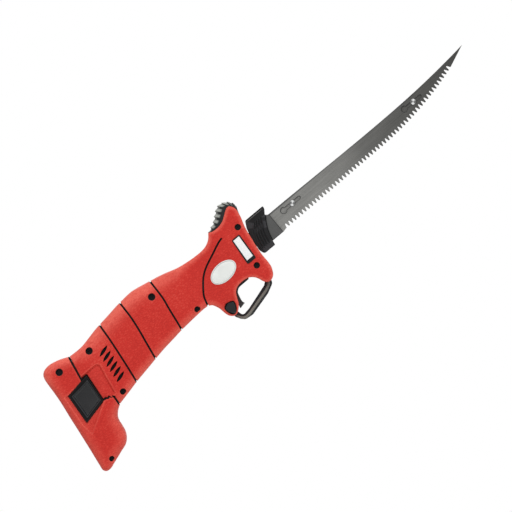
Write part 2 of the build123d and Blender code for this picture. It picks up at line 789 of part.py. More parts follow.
SWITCH_Z = -25.5
SWITCH_FRONT = -54.0
PLUNGER_R = 1.8
with BuildPart() as switch_body:
    add(box_between((-63.0, -5.0, -30.0), (SWITCH_FRONT, 5.0, -21.0)))
    add(rod((-62.0, 0, SWITCH_Z), (-53.0, 0, SWITCH_Z), PLUNGER_R + 0.05), mode=Mode.SUBTRACT)
save(switch_body, "switch_body")

with BuildPart() as switch_plunger:
    add(rod((-58.5, 0, SWITCH_Z), (-47.05, 0, SWITCH_Z), PLUNGER_R))
save(switch_plunger, "switch_plunger")


def coil(start, direction, length, radius, turns, wire):
    """A compression spring of round wire."""
    with BuildPart() as spring:
        with BuildLine() as coil_path:
            Helix(length / turns, length, radius, center=start, direction=direction)
        with BuildSketch(Plane(origin=coil_path.line @ 0, z_dir=coil_path.line % 0)):
            Circle(wire)
        sweep(path=coil_path.line, is_frenet=True)
    return spring


save(coil((SWITCH_FRONT + 0.4, 0, SWITCH_Z), (1, 0, 0), 6.2, 2.6, 4, 0.35), "trigger_spring")

with BuildPart() as safety_bolt:
    with BuildSketch(Plane.XZ.offset(20.8)) as cap_sketch:
        Polygon(*SAFETY_OUTLINE, align=None)
        fillet(cap_sketch.vertices(), 1.2)
    extrude(amount=4.2)
    add(rod((SAFETY_X, -20.8, SAFETY_Z), (SAFETY_X, 20.8, SAFETY_Z), 3.0))
save(safety_bolt, "safety_bolt")

# ---------------------------------------------------------------- board, contacts and wiring
BOARD_TOP = -13.6
BOARD_CHIPS = [(-142, -4, 6, 5, 1.6), (-130, 3, 9, 9, 1.4), (-112, -3, 5, 7, 2.0), (-102, 3, 4, 6, 1.6)]
with BuildPart() as control_board:
    add(box_between((-150.0, -10.0, BOARD_TOP - 1.6), (-95.0, 10.0, BOARD_TOP)))
    for x, y, long, wide, tall in BOARD_CHIPS:
        with Locations((x, y, BOARD_TOP + tall / 2)):
            Box(long, wide, tall)
save(control_board, "control_board")

with BuildPart() as battery_contacts:
    for y in (-5.0, 5.0):
        add(box_between((-191.6, y - 1.5, -4.0), (-190.8, y + 1.5, 2.0)))
        add(box_between((-190.8, y - 1.5, -4.0), (-183.5, y + 1.5, -3.2)))
save(battery_contacts, "battery_contacts")

POWER_LEAD = [(-183.5, -4.9), (-180.8, -8.0), (-178.5, -17.0), (-154.0, -17.2), (-150.8, -14.4)]
SWITCH_LEAD = [
    (-94.2, -14.0),
    (-89.0, -11.4),
    (-80.0, -11.6),
    (-76.8, -15.1),
    (-71.0, -14.9),
    (-66.2, -19.9),
    (-61.0, -20.2),
]
LEADS = [(POWER_LEAD, -5.0), (POWER_LEAD, 5.0), (SWITCH_LEAD, 4.2)]
LEAD_R = 0.75
with BuildPart() as wiring:
    for points, y in LEADS:
        with BuildLine() as lead_path:
            FilletPolyline(*[(x, y, z) for x, z in points], radius=1.5)
        with BuildSketch(Plane(origin=lead_path.line @ 0, z_dir=lead_path.line % 0)):
            Circle(LEAD_R)
        sweep(path=lead_path.line)
save(wiring, "wiring")

# ---------------------------------------------------------------- battery
FRAME_OUTLINE = [(-225.5, -2.5), (-200.9, 1.8), (-204.0, -25.0), (-228.0, -30.5)]
BUTTON_OUTLINE = [(-222.4, -5.0), (-204.0, -3.2), (-205.8, -22.6), (-224.0, -27.0)]
CASE_HOLLOW = [
    (-210.0, 23.0),
    (-227.6, 26.6),
    (-228.6, 19.0),
    (-240.6, -66.5),
    (-216.5, -64.0),
    (-210.5, -48.0),
    (-199.5, -37.5),
    (-198.5, -30.0),
    (-208.0, -28.0),
    (-206.0, -1.5),
    (-211.0, -1.5),
]
HOLLOW_HALF = 21.2
BUTTON_OUT = 24.6
BUTTON_THICK = 2.4
BUTTON_TRAVEL = 1.8
BUTTON_POST = (-209.6, -12.0)
BATTERY_SCREWS = [(-218.2, 20.5), (-232.2, -71.8)]

CASE_INSET = 3.2  # the hard case stands this far inside the outline, under a thick soft rim
CASE_HALF = FOOT_HALF - SKIN
# Front bulkhead of the case, which reaches forward to the seam
BULKHEAD = [
    (-203.5, 23.0),
    (-207.5, 1.9),
    (-200.7, 1.9),
    (-203.9, -25.3),
    (-199.0, -25.7),
    (-194.3, -27.1),
    (-195.4, -35.0),
    (-199.5, -37.0),
    (-198.5, -30.0),
    (-208.0, -28.0),
    (-206.0, -1.5),
    (-211.0, -1.5),
    (-208.5, 21.0),
]
BULKHEAD_HALF = 20.5
case_core = plate_core(FOOT_OUTLINE, FOOT_RADII, CASE_HALF + CASE_INSET, CASE_INSET, 1.2)
foot_outer = foot_core(0, 3.0)

with BuildPart() as battery_case:
    add(case_core)
    add(prism(BULKHEAD, BULKHEAD_HALF))
    for sign in (-1, 1):
        with BuildSketch(Plane.XZ.offset(sign * HOLLOW_HALF)):
            Polygon(*FRAME_OUTLINE, align=None)
        extrude(amount=sign * (BUTTON_OUT - 0.3 - HOLLOW_HALF))
    add(prism(CASE_HOLLOW, HOLLOW_HALF), mode=Mode.SUBTRACT)
    for sign in (-1, 1):
        with BuildSketch(Plane.XZ.offset(sign * (BUTTON_OUT - BUTTON_THICK - BUTTON_TRAVEL - 1))):
            Polygon(*BUTTON_OUTLINE, align=None)
            offset(amount=0.25)
        extrude(amount=sign * 10, mode=Mode.SUBTRACT)
        low, high = sorted((sign * 11.0, sign * 13.0))
        add(box_between((BUTTON_POST[0] - 2.8, low, -16.0), (BUTTON_POST[0] + 4.6, high, -8.0)))
    with BuildSketch(Plane.XZ.offset(-CAVITY_HALF)):
        with Locations(*BATTERY_SCREWS):
            Circle(BOSS_R)
    extrude(amount=2 * CAVITY_HALF)
    add(foot_outer, mode=Mode.INTERSECT)
    with BuildSketch(Plane.XZ.offset(-14)):
        with Locations(*BATTERY_SCREWS):
            Circle(SCREW_R)
    extrude(amount=40, mode=Mode.SUBTRACT)
    with BuildSketch(Plane.XZ.offset(BATTERY_SEAT)):
        with Locations(*BATTERY_SCREWS):
            Circle(SCREW_HEAD_R + 0.1)
    extrude(amount=20, mode=Mode.SUBTRACT)
    add(box_between((-209.4, -9.5, -9.5), (-192.0, 9.5, 7.5)))
    add(box_between((-210.0, -7.5, -7.5), (-193.5, 7.5, 5.5)), mode=Mode.SUBTRACT)
battery_case = main_solid(battery_case.part)
save(battery_case, "battery_case")

with BuildPart() as battery_skin:
    add(foot_outer)
    add(case_core, mode=Mode.SUBTRACT)
    add(battery_case.part, mode=Mode.SUBTRACT)
    add(prism(FRAME_OUTLINE, 40), mode=Mode.SUBTRACT)
    with BuildSketch(Plane.XZ.offset(-BATTERY_SEAT)):
        with Locations(*BATTERY_SCREWS):
            Circle(BOSS_R)
    extrude(amount=2 * BATTERY_SEAT, mode=Mode.SUBTRACT)
    with BuildSketch(Plane.XZ.offset(BATTERY_SEAT)):
        with Locations(*BATTERY_SCREWS):
            Circle(SCREW_HEAD_R + 0.4)
    extrude(amount=20, mode=Mode.SUBTRACT)
for side, half in (("right", RIGHT_HALF), ("left", LEFT_HALF)):
    with BuildPart() as battery_cover:
        add(battery_skin.part)
        add(half, mode=Mode.INTERSECT)
    save(main_solid(battery_cover.part), "battery_skin_" + side)

lean = Vector(sin(radians(FOOT_TILT)), 0, cos(radians(FOOT_TILT)))
for side, sign in (("right", -1), ("left", 1)):
    middle = Vector(CELL_X, sign * 9.3, CELL_Z)
    with BuildPart() as cell:
        bottom = middle - lean * (CELL_LENGTH / 2)
        top = middle + lean * (CELL_LENGTH / 2)
        add(rod(tuple(bottom), tuple(top - lean), CELL_R))
        fillet(cell.edges(), 0.8)
        add(rod(tuple(top - lean * 2), tuple(top), 3.0))
    save(cell, "battery_cell_" + side)

with BuildPart() as battery_terminals:
    for y in (-5.0, 5.0):
        add(box_between((-192.0, y - 1.5, -3.0), (-191.7, y + 1.5, 1.0)))
save(battery_terminals, "battery_terminals")

with BuildPart() as battery_screws:
    with BuildSketch(Plane.XZ.offset(-SCREW_END)):
        with Locations(*BATTERY_SCREWS):
            Circle(SCREW_R)
    extrude(amount=SCREW_END + BATTERY_SEAT)
    with BuildSketch(Plane.XZ.offset(BATTERY_SEAT)):
        with Locations(*BATTERY_SCREWS):
            Circle(SCREW_HEAD_R)
    extrude(amount=SCREW_HEAD_TALL)
save(battery_screws, "battery_screws")

for side, sign in (("right", 1), ("left", -1)):
    with BuildPart() as release_button:
        with BuildSketch(Plane.XZ.offset(sign * (BUTTON_OUT - BUTTON_THICK))) as button_sketch:
            Polygon(*BUTTON_OUTLINE, align=None)
            fillet(button_sketch.vertices(), 1.0)
        extrude(amount=sign * BUTTON_THICK)
    save(release_button, "release_button_" + side)
    spring_start = (BUTTON_POST[0], -sign * 13.5, BUTTON_POST[1])
    spring_length = BUTTON_OUT - BUTTON_THICK - 13.5 - 0.5
    save(coil(spring_start, (0, -sign, 0), spring_length, 1.9, 6, 0.3), "button_spring_" + side)
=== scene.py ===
import json
import math

import bpy
import numpy as np
from mathutils import Matrix, Vector
from mathutils.geometry import delaunay_2d_cdt


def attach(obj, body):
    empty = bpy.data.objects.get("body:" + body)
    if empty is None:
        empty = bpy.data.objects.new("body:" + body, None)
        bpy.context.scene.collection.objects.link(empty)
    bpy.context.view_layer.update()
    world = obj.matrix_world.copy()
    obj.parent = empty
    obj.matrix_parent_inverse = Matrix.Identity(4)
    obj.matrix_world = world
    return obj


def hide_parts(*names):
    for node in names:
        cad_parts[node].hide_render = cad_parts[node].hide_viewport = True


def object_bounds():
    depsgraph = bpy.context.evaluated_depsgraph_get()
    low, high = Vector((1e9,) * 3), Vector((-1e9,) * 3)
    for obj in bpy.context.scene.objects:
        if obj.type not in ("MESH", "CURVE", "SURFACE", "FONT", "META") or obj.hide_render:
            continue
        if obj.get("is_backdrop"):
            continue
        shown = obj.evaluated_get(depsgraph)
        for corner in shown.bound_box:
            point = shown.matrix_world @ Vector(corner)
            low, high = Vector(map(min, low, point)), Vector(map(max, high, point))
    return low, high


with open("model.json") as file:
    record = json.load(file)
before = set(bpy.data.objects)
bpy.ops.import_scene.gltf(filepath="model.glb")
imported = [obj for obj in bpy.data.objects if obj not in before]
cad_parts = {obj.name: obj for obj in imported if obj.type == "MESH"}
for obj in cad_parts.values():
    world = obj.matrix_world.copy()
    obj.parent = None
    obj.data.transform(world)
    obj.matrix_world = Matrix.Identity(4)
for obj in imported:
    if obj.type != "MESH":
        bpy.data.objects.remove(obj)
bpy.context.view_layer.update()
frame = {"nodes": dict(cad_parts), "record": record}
nodes = frame["nodes"]

MM = 0.001  # every outline below is in millimetres
HEAD_HALF = 21.0
GRIP_HALF = 22.0
FOOT_HALF = 25.0
SKIN_THICK = 1.4
SIDES = (("right", -1.0), ("left", 1.0))
SHEET_STEP = 0.9
TINY = 1e-9
VENT_STEP = 0.35
HOLE_STEP = 0.45
GROOVE_STEP = 0.3
ROLL_ROWS = (0.02, 0.07, 0.16, 0.30, 0.48, 0.7)  # rows of points over a rolled edge, as shares of its radius
STRIP_STEPS = 5
# painted highlight on the strip from the rolled edge down to the parting line
STRIP_SHADE = 0.8


# ---------------------------------------------------------------- node materials
class Mat:
    """Builds one node material step by step."""

    def __init__(self, name):
        self.mat = bpy.data.materials.new(name)
        self.mat.use_nodes = True
        self.tree = self.mat.node_tree
        self.bsdf = self.tree.nodes["Principled BSDF"]
        self.place = self.add("ShaderNodeTexCoord").outputs["Object"]

    def add(self, kind, sockets=None, **values):
        node = self.tree.nodes.new(kind)
        for key, value in values.items():
            setattr(node, key, value)
        for key, value in (sockets or {}).items():
            self.plug(node.inputs[key], value)
        return node

    def link(self, source, target):
        self.tree.links.new(source, target)

    def plug(self, target, value):
        if isinstance(value, (int, float, tuple)):
            target.default_value = value
        else:
            self.link(value, target)

    def scaled(self, factors):
        return self.add("ShaderNodeMapping", {"Vector": self.place, "Scale": factors}).outputs["Vector"]

    def noise(self, scale, detail=4.0, rough=0.5, vector=None, distortion=0.0):
        sockets = {"Vector": vector or self.place, "Scale": scale, "Detail": detail}
        sockets.update({"Roughness": rough, "Distortion": distortion})
        return self.add("ShaderNodeTexNoise", sockets).outputs["Fac"]

    def voronoi(self, scale, feature="F1", vector=None):
        sockets = {"Vector": vector or self.place, "Scale": scale}
        return self.add("ShaderNodeTexVoronoi", sockets, feature=feature).outputs["Distance"]

    def ramp(self, value, stops):
        node = self.add("ShaderNodeValToRGB")
        self.link(value, node.inputs["Fac"])
        while len(node.color_ramp.elements) < len(stops):
            node.color_ramp.elements.new(0.5)
        for element, (position, colour) in zip(node.color_ramp.elements, stops):
            element.position = position
            element.color = (*colour, 1.0) if len(colour) == 3 else colour
        return node.outputs["Color"]

    def range(self, value, low, high, from_low=0.0, from_high=1.0):
        sockets = {"Value": value, "From Min": from_low, "From Max": from_high, "To Min": low, "To Max": high}
        return self.add("ShaderNodeMapRange", sockets).outputs["Result"]

    def math(self, operation, a, b=0.0):
        return self.add("ShaderNodeMath", {0: a, 1: b}, operation=operation).outputs[0]

    def mix(self, factor, a, b, blend="MIX"):
        node = self.add("ShaderNodeMix", data_type="RGBA", blend_type=blend)
        self.plug(node.inputs["Factor"], factor)
        for key, value in ((6, a), (7, b)):
            if isinstance(value, tuple):
                node.inputs[key].default_value = (*value, 1.0) if len(value) == 3 else value
            else:
                self.link(value, node.inputs[key])
        return node.outputs[2]

    def axis(self, name):
        return self.add("ShaderNodeSeparateXYZ", {0: self.place}).outputs[name]

    def wear_and_sheen(self, amount=1.0):
        """Bright on convex edges, from the surface's pointiness: rubbed wear on hard plastic, painted sheen on
        the soft grip.
        """
        node = self.add("ShaderNodeNewGeometry")
        return self.range(node.outputs["Pointiness"], 0.0, amount, 0.52, 0.60)

    def bump(self, height, strength, distance):
        node = self.add("ShaderNodeBump", {"Height": height, "Strength": strength, "Distance": distance})
        self.link(node.outputs["Normal"], self.bsdf.inputs["Normal"])
        return self

    def finish(self, colour=None, rough=None, metal=0.0, coat=0.0, spec=0.5, sheen=0.0):
        if colour is not None:
            if isinstance(colour, tuple):
                self.bsdf.inputs["Base Color"].default_value = (*colour, 1.0)
            else:
                self.link(colour, self.bsdf.inputs["Base Color"])
        self.plug(self.bsdf.inputs["Roughness"], 0.5 if rough is None else rough)
        self.bsdf.inputs["Metallic"].default_value = metal
        self.bsdf.inputs["Coat Weight"].default_value = coat
        self.bsdf.inputs["Specular IOR Level"].default_value = spec
        self.bsdf.inputs["Sheen Weight"].default_value = sheen
        return self.mat


def leather_rubber(name, deep, mid, pale):
    """Soft overmould with a fine wrinkled grain, with a painted highlight where it rolls over its edges."""
    m = Mat(name)
    warp = m.scaled((0.7, 1.0, 1.25))
    crease = m.voronoi(430.0, "DISTANCE_TO_EDGE", warp)
    wrinkle = m.noise(330.0, 5.0, 0.62, warp, 1.6)
    fine = m.noise(1500.0, 3.0, 0.6)
    broad = m.noise(26.0, 4.0, 0.55, distortion=0.5)
    creased = m.math("MULTIPLY", m.range(crease, 0.0, 1.0, 0.0, 0.3), 0.35)
    height = m.math("ADD", creased, m.math("MULTIPLY", wrinkle, 0.9))
    height = m.math("ADD", height, m.math("MULTIPLY", fine, 0.2))
    tone = m.math("ADD", m.math("MULTIPLY", height, 0.45), m.math("MULTIPLY", broad, 0.4))
    light = tuple(0.5 * (a + b) for a, b in zip(mid, pale))
    colour = m.ramp(tone, [(0.30, deep), (0.55, mid), (0.85, light)])
    # painted highlight from the mesh's pale attribute, where the skin rolls over its edges
    edge = m.add("ShaderNodeAttribute", attribute_name="pale").outputs["Fac"]
    broken = m.range(wrinkle, 0.55, 1.25, 0.35, 0.65)
    colour = m.mix(m.math("MULTIPLY", edge, broken), colour, pale)
    # painted sheen on the sharper convex edges
    colour = m.mix(m.wear_and_sheen(0.3), colour, pale)
    rough = m.range(m.noise(60.0, 4.0, 0.6), 0.48, 0.66)
    m.bump(height, 0.55, 0.0004)
    return m.finish(colour, rough, coat=0.0, spec=0.22)


def moulded_plastic(
    name, colour, pale, grain=900.0, rough_low=0.38, rough_high=0.55, strength=0.15, spec=0.15
):
    """Hard moulded plastic with spark-eroded grain and faintly rubbed edges."""
    m = Mat(name)
    spark = m.noise(grain, 5.0, 0.65)
    broad = m.noise(35.0, 3.0, 0.5)
    base = m.ramp(broad, [(0.3, colour), (0.8, tuple(1.35 * c + 0.004 for c in colour))])
    base = m.mix(m.wear_and_sheen(0.5), base, pale)
    rough = m.range(m.noise(120.0, 4.0, 0.6), rough_low, rough_high)
    m.bump(spark, strength, 0.0002)
    return m.finish(base, rough, spec=spec)


def ridged_rubber(name, dark, pale):
    """Matt rubber, painted grey as a highlight where the shape marks it."""
    m = Mat(name)
    spark = m.noise(700.0, 5.0, 0.65)
    broad = m.noise(60.0, 3.0, 0.5)
    base = m.ramp(broad, [(0.3, tuple(1.6 * c for c in dark)), (0.8, tuple(3.2 * c for c in dark))])
    painted_light = m.add("ShaderNodeAttribute", attribute_name="pale").outputs["Fac"]
    base = m.mix(m.math("MULTIPLY", painted_light, m.range(spark, 0.5, 0.9, 0.3, 0.7)), base, pale)
    m.bump(spark, 0.25, 0.0003)
    return m.finish(base, m.range(broad, 0.55, 0.7), spec=0.15)


def metal(name, colour, rough_low, rough_high, stretch=(1.0, 1.0, 1.0), grain=700.0, strength=0.12):
    """Worked metal: scratches drawn out along the stretch, with slight staining."""
    m = Mat(name)
    lines = m.noise(grain, 3.0, 0.6, m.scaled(stretch))
    stain = m.noise(45.0, 5.0, 0.6, distortion=0.4)
    base = m.mix(m.range(stain, 0.0, 0.6, 0.4, 0.8), colour, tuple(0.72 * c for c in colour))
    rough = m.math("ADD", m.range(lines, rough_low, rough_high), m.range(stain, -0.04, 0.06))
    m.bump(lines, strength, 0.0001)
    return m.finish(base, rough, metal=1.0)


# tones of the blade from the grip to the tip, as (share of the length, grey)
BLADE_TONES = [(0.0, 0.262), (0.25, 0.235), (0.45, 0.138), (0.70, 0.096), (0.93, 0.064)]


def ground_blade(name):
    """Blade steel, ground lengthwise and coloured darker towards the tip, with a dark spine."""
    m = Mat(name)
    lines = m.noise(900.0, 4.0, 0.65, m.scaled((0.02, 1.0, 1.0)))
    cloud = m.noise(28.0, 5.0, 0.6, m.scaled((0.5, 1.0, 1.4)), 0.6)
    along = m.range(m.axis("X"), 0.0, 1.0, 0.02, 0.262)
    tone = m.ramp(along, [(share, (v, v * 0.985, v * 0.93)) for share, v in BLADE_TONES])
    shade = m.math("ADD", m.range(lines, 0.86, 1.14, 0.3, 0.7), m.range(cloud, -0.10, 0.12, 0.3, 0.7))
    factor = m.ramp(m.range(shade, 0.0, 1.0, 0.0, 2.0), [(0.0, (0.0, 0.0, 0.0)), (1.0, (2.0, 2.0, 2.0))])
    tone = m.mix(1.0, tone, factor, "MULTIPLY")
    height = m.axis("Z")
    spine = m.range(height, 0.0, 0.75, 0.0062, 0.0076)
    spine = m.math("MULTIPLY", spine, m.range(m.axis("X"), 1.0, 0.0, 0.185, 0.205))
    tone = m.mix(spine, tone, (0.03, 0.03, 0.032))
    m.bump(lines, 0.10, 0.0001)
    return m.finish(tone, m.range(cloud, 0.34, 0.48), metal=0.85, spec=0.4)


def turned_head(name, x, z, colour=(0.95, 0.95, 0.93)):
    """Rivet head turned on a lathe, with a painted reflection: two bright fans that meet at its middle,
    between two dark ones.
    """
    m = Mat(name)
    dx = m.math("SUBTRACT", m.axis("X"), x * MM)
    dz = m.math("SUBTRACT", m.axis("Z"), z * MM)
    turn = m.math("SUBTRACT", m.math("ARCTAN2", dz, dx), 0.75)
    fan_reflection = m.math("POWER", m.math("ABSOLUTE", m.math("COSINE", turn)), 3.0)
    reach = m.math("SQRT", m.math("ADD", m.math("MULTIPLY", dx, dx), m.math("MULTIPLY", dz, dz)))
    rings = m.math("SINE", m.math("MULTIPLY", reach, 16000.0))
    scratch = m.noise(1800.0, 3.0, 0.6)
    # painted reflection: bright and dark fans round the head
    tone = m.mix(m.math("ADD", fan_reflection, m.range(scratch, -0.08, 0.08)), tuple(0.16 * c for c in colour), colour)
    m.bump(rings, 0.10, 0.00008)
    return m.finish(tone, m.range(scratch, 0.24, 0.38), metal=0.75)


RED_DEEP = (0.43, 0.013, 0.009)
RED_MID = (0.56, 0.024, 0.015)
RED_PALE = (0.80, 0.135, 0.095)
BLACK = (0.008, 0.008, 0.0085)
red = leather_rubber("red_soft_grip", RED_DEEP, RED_MID, RED_PALE)
black = moulded_plastic("black_moulding", BLACK, (0.06, 0.06, 0.065))
groove_black = moulded_plastic(
    "groove_black", (0.007, 0.006, 0.006), (0.02, 0.02, 0.02), rough_low=0.6, rough_high=0.8, spec=0.1
)


# ---------------------------------------------------------------- moulded skins
# Side outlines are (along, up, edge radius) in millimetres, each run smoothed through its points.
HANDLE_TOP = [
    (-201.4, 25.6, 7), (-197, 25.4, 8), (-190, 25.3, 9), (-184, 26.0, 10), (-175, 28, 11), (-165, 30, 11),
    (-150, 32, 11), (-138, 33.7, 11), (-122, 35, 11), (-114, 34.2, 11), (-105, 32.5, 11), (-98, 31, 11),
    (-92, 29.8, 11), (-85, 28, 10), (-78, 25.8, 8), (-72, 24.2, 6), (-64, 22.9, 4), (-55, 22.0, 3.2),
    (-46, 21.9, 3), (-40, 23, 3), (-36, 25, 3), (-33, 27.5, 2.6), (-30.3, 30.9, 2.4),
]
THUMB_EDGE = [
    (-30.3, 30.9, 2.4), (-26, 29.2, 2.4), (-20, 29, 2.4), (-14, 30.5, 2.4), (-10, 33, 2.4), (-6, 35.8, 2.4),
    (-3, 37.5, 2.4), (-0.6, 37.7, 2.4), (1.4, 36.3, 2.4), (3, 33.5, 2.4), (3.6, 30, 2.4), (3, 26.5, 2.4),
]
NOSE_EDGE = [
    (3, 26.5, 2.4), (2, 22, 2.4), (0, 16, 2.4), (-1.5, 10, 2.4), (-3, 0, 2.4), (-4, -6, 2.4), (-5, -16, 2.4),
    (-5, -25, 2.4), (-5.5, -30, 2.4), (-7, -34, 2.4), (-9, -37.2, 2.4), (-12, -39.3, 2.2), (-15.5, -39.8, 2),
    (-18, -38.6, 2), (-20, -36.2, 2), (-22, -31, 2), (-24, -28, 2), (-27, -25.5, 2), (-30.5, -24.2, 2),
    (-36, -23.7, 2), (-41.4, -24.6, 2), (-45.6, -27.4, 2), (-48.7, -33, 2), (-50.5, -37, 2),
    (-53, -40, 2), (-56.5, -42.8, 2), (-60, -43.6, 2.2), (-62.4, -42.4, 2.4), (-64.6, -40, 2.6),
    (-66, -36, 2.8), (-67, -30, 3), (-68.5, -26, 3.2), (-70.4, -22.8, 3.6), (-74, -20.7, 4),
]
HANDLE_BOTTOM = [
    (-74, -20.7, 4.0), (-80, -20.5, 4.5), (-90, -21, 5), (-100, -21.7, 5), (-108, -22.3, 5), (-118, -23.6, 5),
    (-130, -25, 5), (-142, -27, 5), (-152, -28.9, 5), (-169, -32, 5.5), (-180, -34.5, 5.5), (-193.9, -37.6, 5),
]
HANDLE_SEAM = [
    (-193.9, -37.6, 0), (-192.9, -29.0, 0), (-194.6, -26.6, 0), (-195.6, -28.0, 0), (-197.2, -25.4, 0),
    (-199.0, -25.9, 0), (-200.4, -24.4, 0), (-202.9, -24.3, 0), (-199.9, 2.9, 0), (-206.0, 2.9, 0),
    (-201.4, 25.6, 0),
]
BATTERY_BACK = [
    (-203.3, 26.1, 7), (-210, 29, 7), (-215, 30.6, 7), (-220, 31.6, 7), (-224.5, 31.5, 7), (-228.4, 30.4, 7),
    (-231.2, 28.2, 7), (-232.7, 25, 7), (-233.5, 20, 7), (-234.1, 10, 7), (-235.0, 0, 7), (-236.4, -10, 7),
    (-237.9, -20, 7), (-239.2, -30, 7), (-240.6, -40, 7), (-242.0, -50, 7), (-243.5, -60, 7), (-245, -70, 6),
    (-245.4, -74.3, 5), (-243.2, -77.4, 5), (-239, -78, 5), (-235, -76.7, 6), (-228, -74.4, 7),
    (-222, -72.3, 7), (-216, -70.4, 7), (-212, -67.7, 7), (-209, -64, 7), (-207, -59.5, 7), (-206, -54, 7),
    (-205.3, -49, 7), (-203.8, -45.2, 7), (-201, -42, 6), (-198.3, -39.9, 5), (-195.7, -38.4, 5),
]
BATTERY_SEAM = [
    (-195.7, -38.4, 0), (-194.7, -29.2, 0), (-196.4, -28.2, 0), (-197.4, -27.2, 0), (-199.2, -27.5, 0),
    (-200.6, -26.4, 0), (-203.7, -25.9, 0), (-228.4, -31.2, 0), (-225.9, -2.0, 0), (-208.0, 1.3, 0),
    (-203.3, 26.1, 0),
]
GROOVE_LINES = [
    [(-100.3, 40), (-100.3, 28), (-101, 12), (-103, 0), (-104.5, -10), (-107.6, -30)],
    [(-134.3, 42), (-134.8, 20), (-136.5, 5), (-139.5, -12), (-143, -32)],
    [(-161.3, 40), (-163, 15), (-166, -10), (-170, -38)],
    [
        (-24.6, 19.0), (-30, 17.3), (-40, 13), (-50, 8.7), (-55, 6), (-60, 2.2), (-65, -3.3), (-70, -10),
        (-72.2, -15), (-75, -26),
    ],
]
GROOVE_HALF = 0.9
GROOVE_DEPTH = 1.1
VENTS = [((-180.5 - 0.6 * i, 7.5 - 5.6 * i), (-168.2 - 0.7 * i, 11.2 - 5.65 * i)) for i in range(6)]
VENT_DEPTH = 2.0
HANDLE_HOLES = [
    (-6, 17.3, 2.9), (-15.2, -21, 2.9), (-108.3, 19, 3.4), (-83.3, -17, 2.9), (-184.5, 18, 3.4),
    (-184.5, -31, 3),
]
BATTERY_HOLES = [(-218.2, 20.5, 3.4), (-232.2, -71.8, 2.6)]
SAFETY_POCKET = [
    (-60.2, -30.3), (-63.1, -32.6), (-63.2, -36.0), (-61.6, -40.3), (-59.4, -42.0),
    (-56.4, -40.6), (-53.7, -36.2), (-53.2, -32.6), (-56.2, -31.0),
]


def smooth_run(points, step=SHEET_STEP):
    """A smooth curve through the points, resampled at about the given step."""
    p = np.array(points, float)
    ends = np.vstack([2 * p[0] - p[1], p, 2 * p[-1] - p[-2]])
    out = []
    for i in range(len(p) - 1):
        a, b, c, d = ends[i : i + 4]
        count = max(1, int(np.linalg.norm((c - b)[:2]) / step + 0.5))
        t = np.linspace(0, 1, count, endpoint=False)[:, None]
        square, cube = 2 * a - 5 * b + 4 * c - d, 3 * b - a - 3 * c + d
        out.append(0.5 * (2 * b + (c - a) * t + square * t**2 + cube * t**3))
    out.append(p[-1:])
    return np.vstack(out)


def straight_run(points, step=SHEET_STEP):
    """The same for a run of straight lines with sharp corners."""
    p = np.array(points, float)
    out = []
    for a, b in zip(p[:-1], p[1:]):
        count = max(1, int(np.linalg.norm((b - a)[:2]) / step + 0.5))
        out.append(a + (b - a) * np.linspace(0, 1, count, endpoint=False)[:, None])
    out.append(p[-1:])
    return np.vstack(out)


def inside(points, polygon):
    """True for each point inside the closed polygon."""
    x, y = points[:, 0:1], points[:, 1:2]
    x0, y0 = polygon[:, 0], polygon[:, 1]
    x1, y1 = np.roll(x0, -1), np.roll(y0, -1)
    crosses = (y0 > y) != (y1 > y)
    with np.errstate(divide="ignore", invalid="ignore"):
        at = x0 + (y - y0) * (x1 - x0) / (y1 - y0)
    return (crosses & (x < at)).sum(1) % 2 == 1


def nearest(points, line, closed=False):
    """Distance to a polyline, the nearest place on it, and how far along it that is."""
    a = line if closed else line[:-1]
    b = np.roll(line, -1, 0) if closed else line[1:]
    best = np.full(len(points), 1e9)
    spot = np.zeros((len(points), 2))
    index = np.zeros(len(points))
    for start in range(0, len(points), 4000):
        p = points[start : start + 4000, None, :2]
        ab = (b - a)[None, :, :2]
        t = (((p - a[None, :, :2]) * ab).sum(2) / np.maximum((ab * ab).sum(2), 1e-12)).clip(0, 1)
        q = a[None, :, :2] + ab * t[..., None]
        distance = np.linalg.norm(p - q, axis=2)
        k = distance.argmin(1)
        rows = np.arange(len(k))
        best[start : start + 4000] = distance[rows, k]
        spot[start : start + 4000] = q[rows, k]
        index[start : start + 4000] = k + t[rows, k]
    return best, spot, index


def step_up(value, low, high):
    t = np.clip((value - low) / (high - low), 0, 1)
    return t * t * (3 - 2 * t)


def lens(a, b, half=1.55, count=9):
    """Closed outline of a slot with pointed ends between a and b."""
    a, b = np.array(a, float), np.array(b, float)
    along = b - a
    side = np.array([-along[1], along[0]]) / np.linalg.norm(along)
    t = np.linspace(0, 1, count)
    bulge = half * np.sin(np.pi * t) ** 0.75
    upper = a + along * t[:, None] + side * bulge[:, None]
    lower = a + along * t[::-1, None] - side * bulge[::-1, None]
    return np.vstack([upper, lower[1:-1]])


def ring(x, z, radius, count=28):
    turn = np.linspace(0, 2 * np.pi, count, endpoint=False)
    return np.stack([x + radius * np.cos(turn), z + radius * np.sin(turn)], 1)


def signed_area(polygon):
    """Area of a closed polygon, negative when it runs clockwise."""
    x, z = polygon[:, 0], polygon[:, 1]
    return 0.5 * np.sum(x * np.roll(z, -1) - np.roll(x, -1) * z)


def left_of(line, closed=False):
    """Unit vectors to the left of the line's direction, one at each of its points."""
    ahead = np.roll(line, -1, 0) - np.roll(line, 1, 0) if closed else np.gradient(line, axis=0)
    side = np.stack([-ahead[:, 1], ahead[:, 0]], 1)
    return side / np.maximum(np.linalg.norm(side, axis=1), TINY)[:, None]


def shrink(polygon, amount):
    """The polygon's points moved towards its inside."""
    return polygon + left_of(polygon, True) * amount * np.sign(signed_area(polygon))


def add_object(name, data):
    obj = bpy.data.objects.new(name, data)
    bpy.context.scene.collection.objects.link(obj)
    return obj


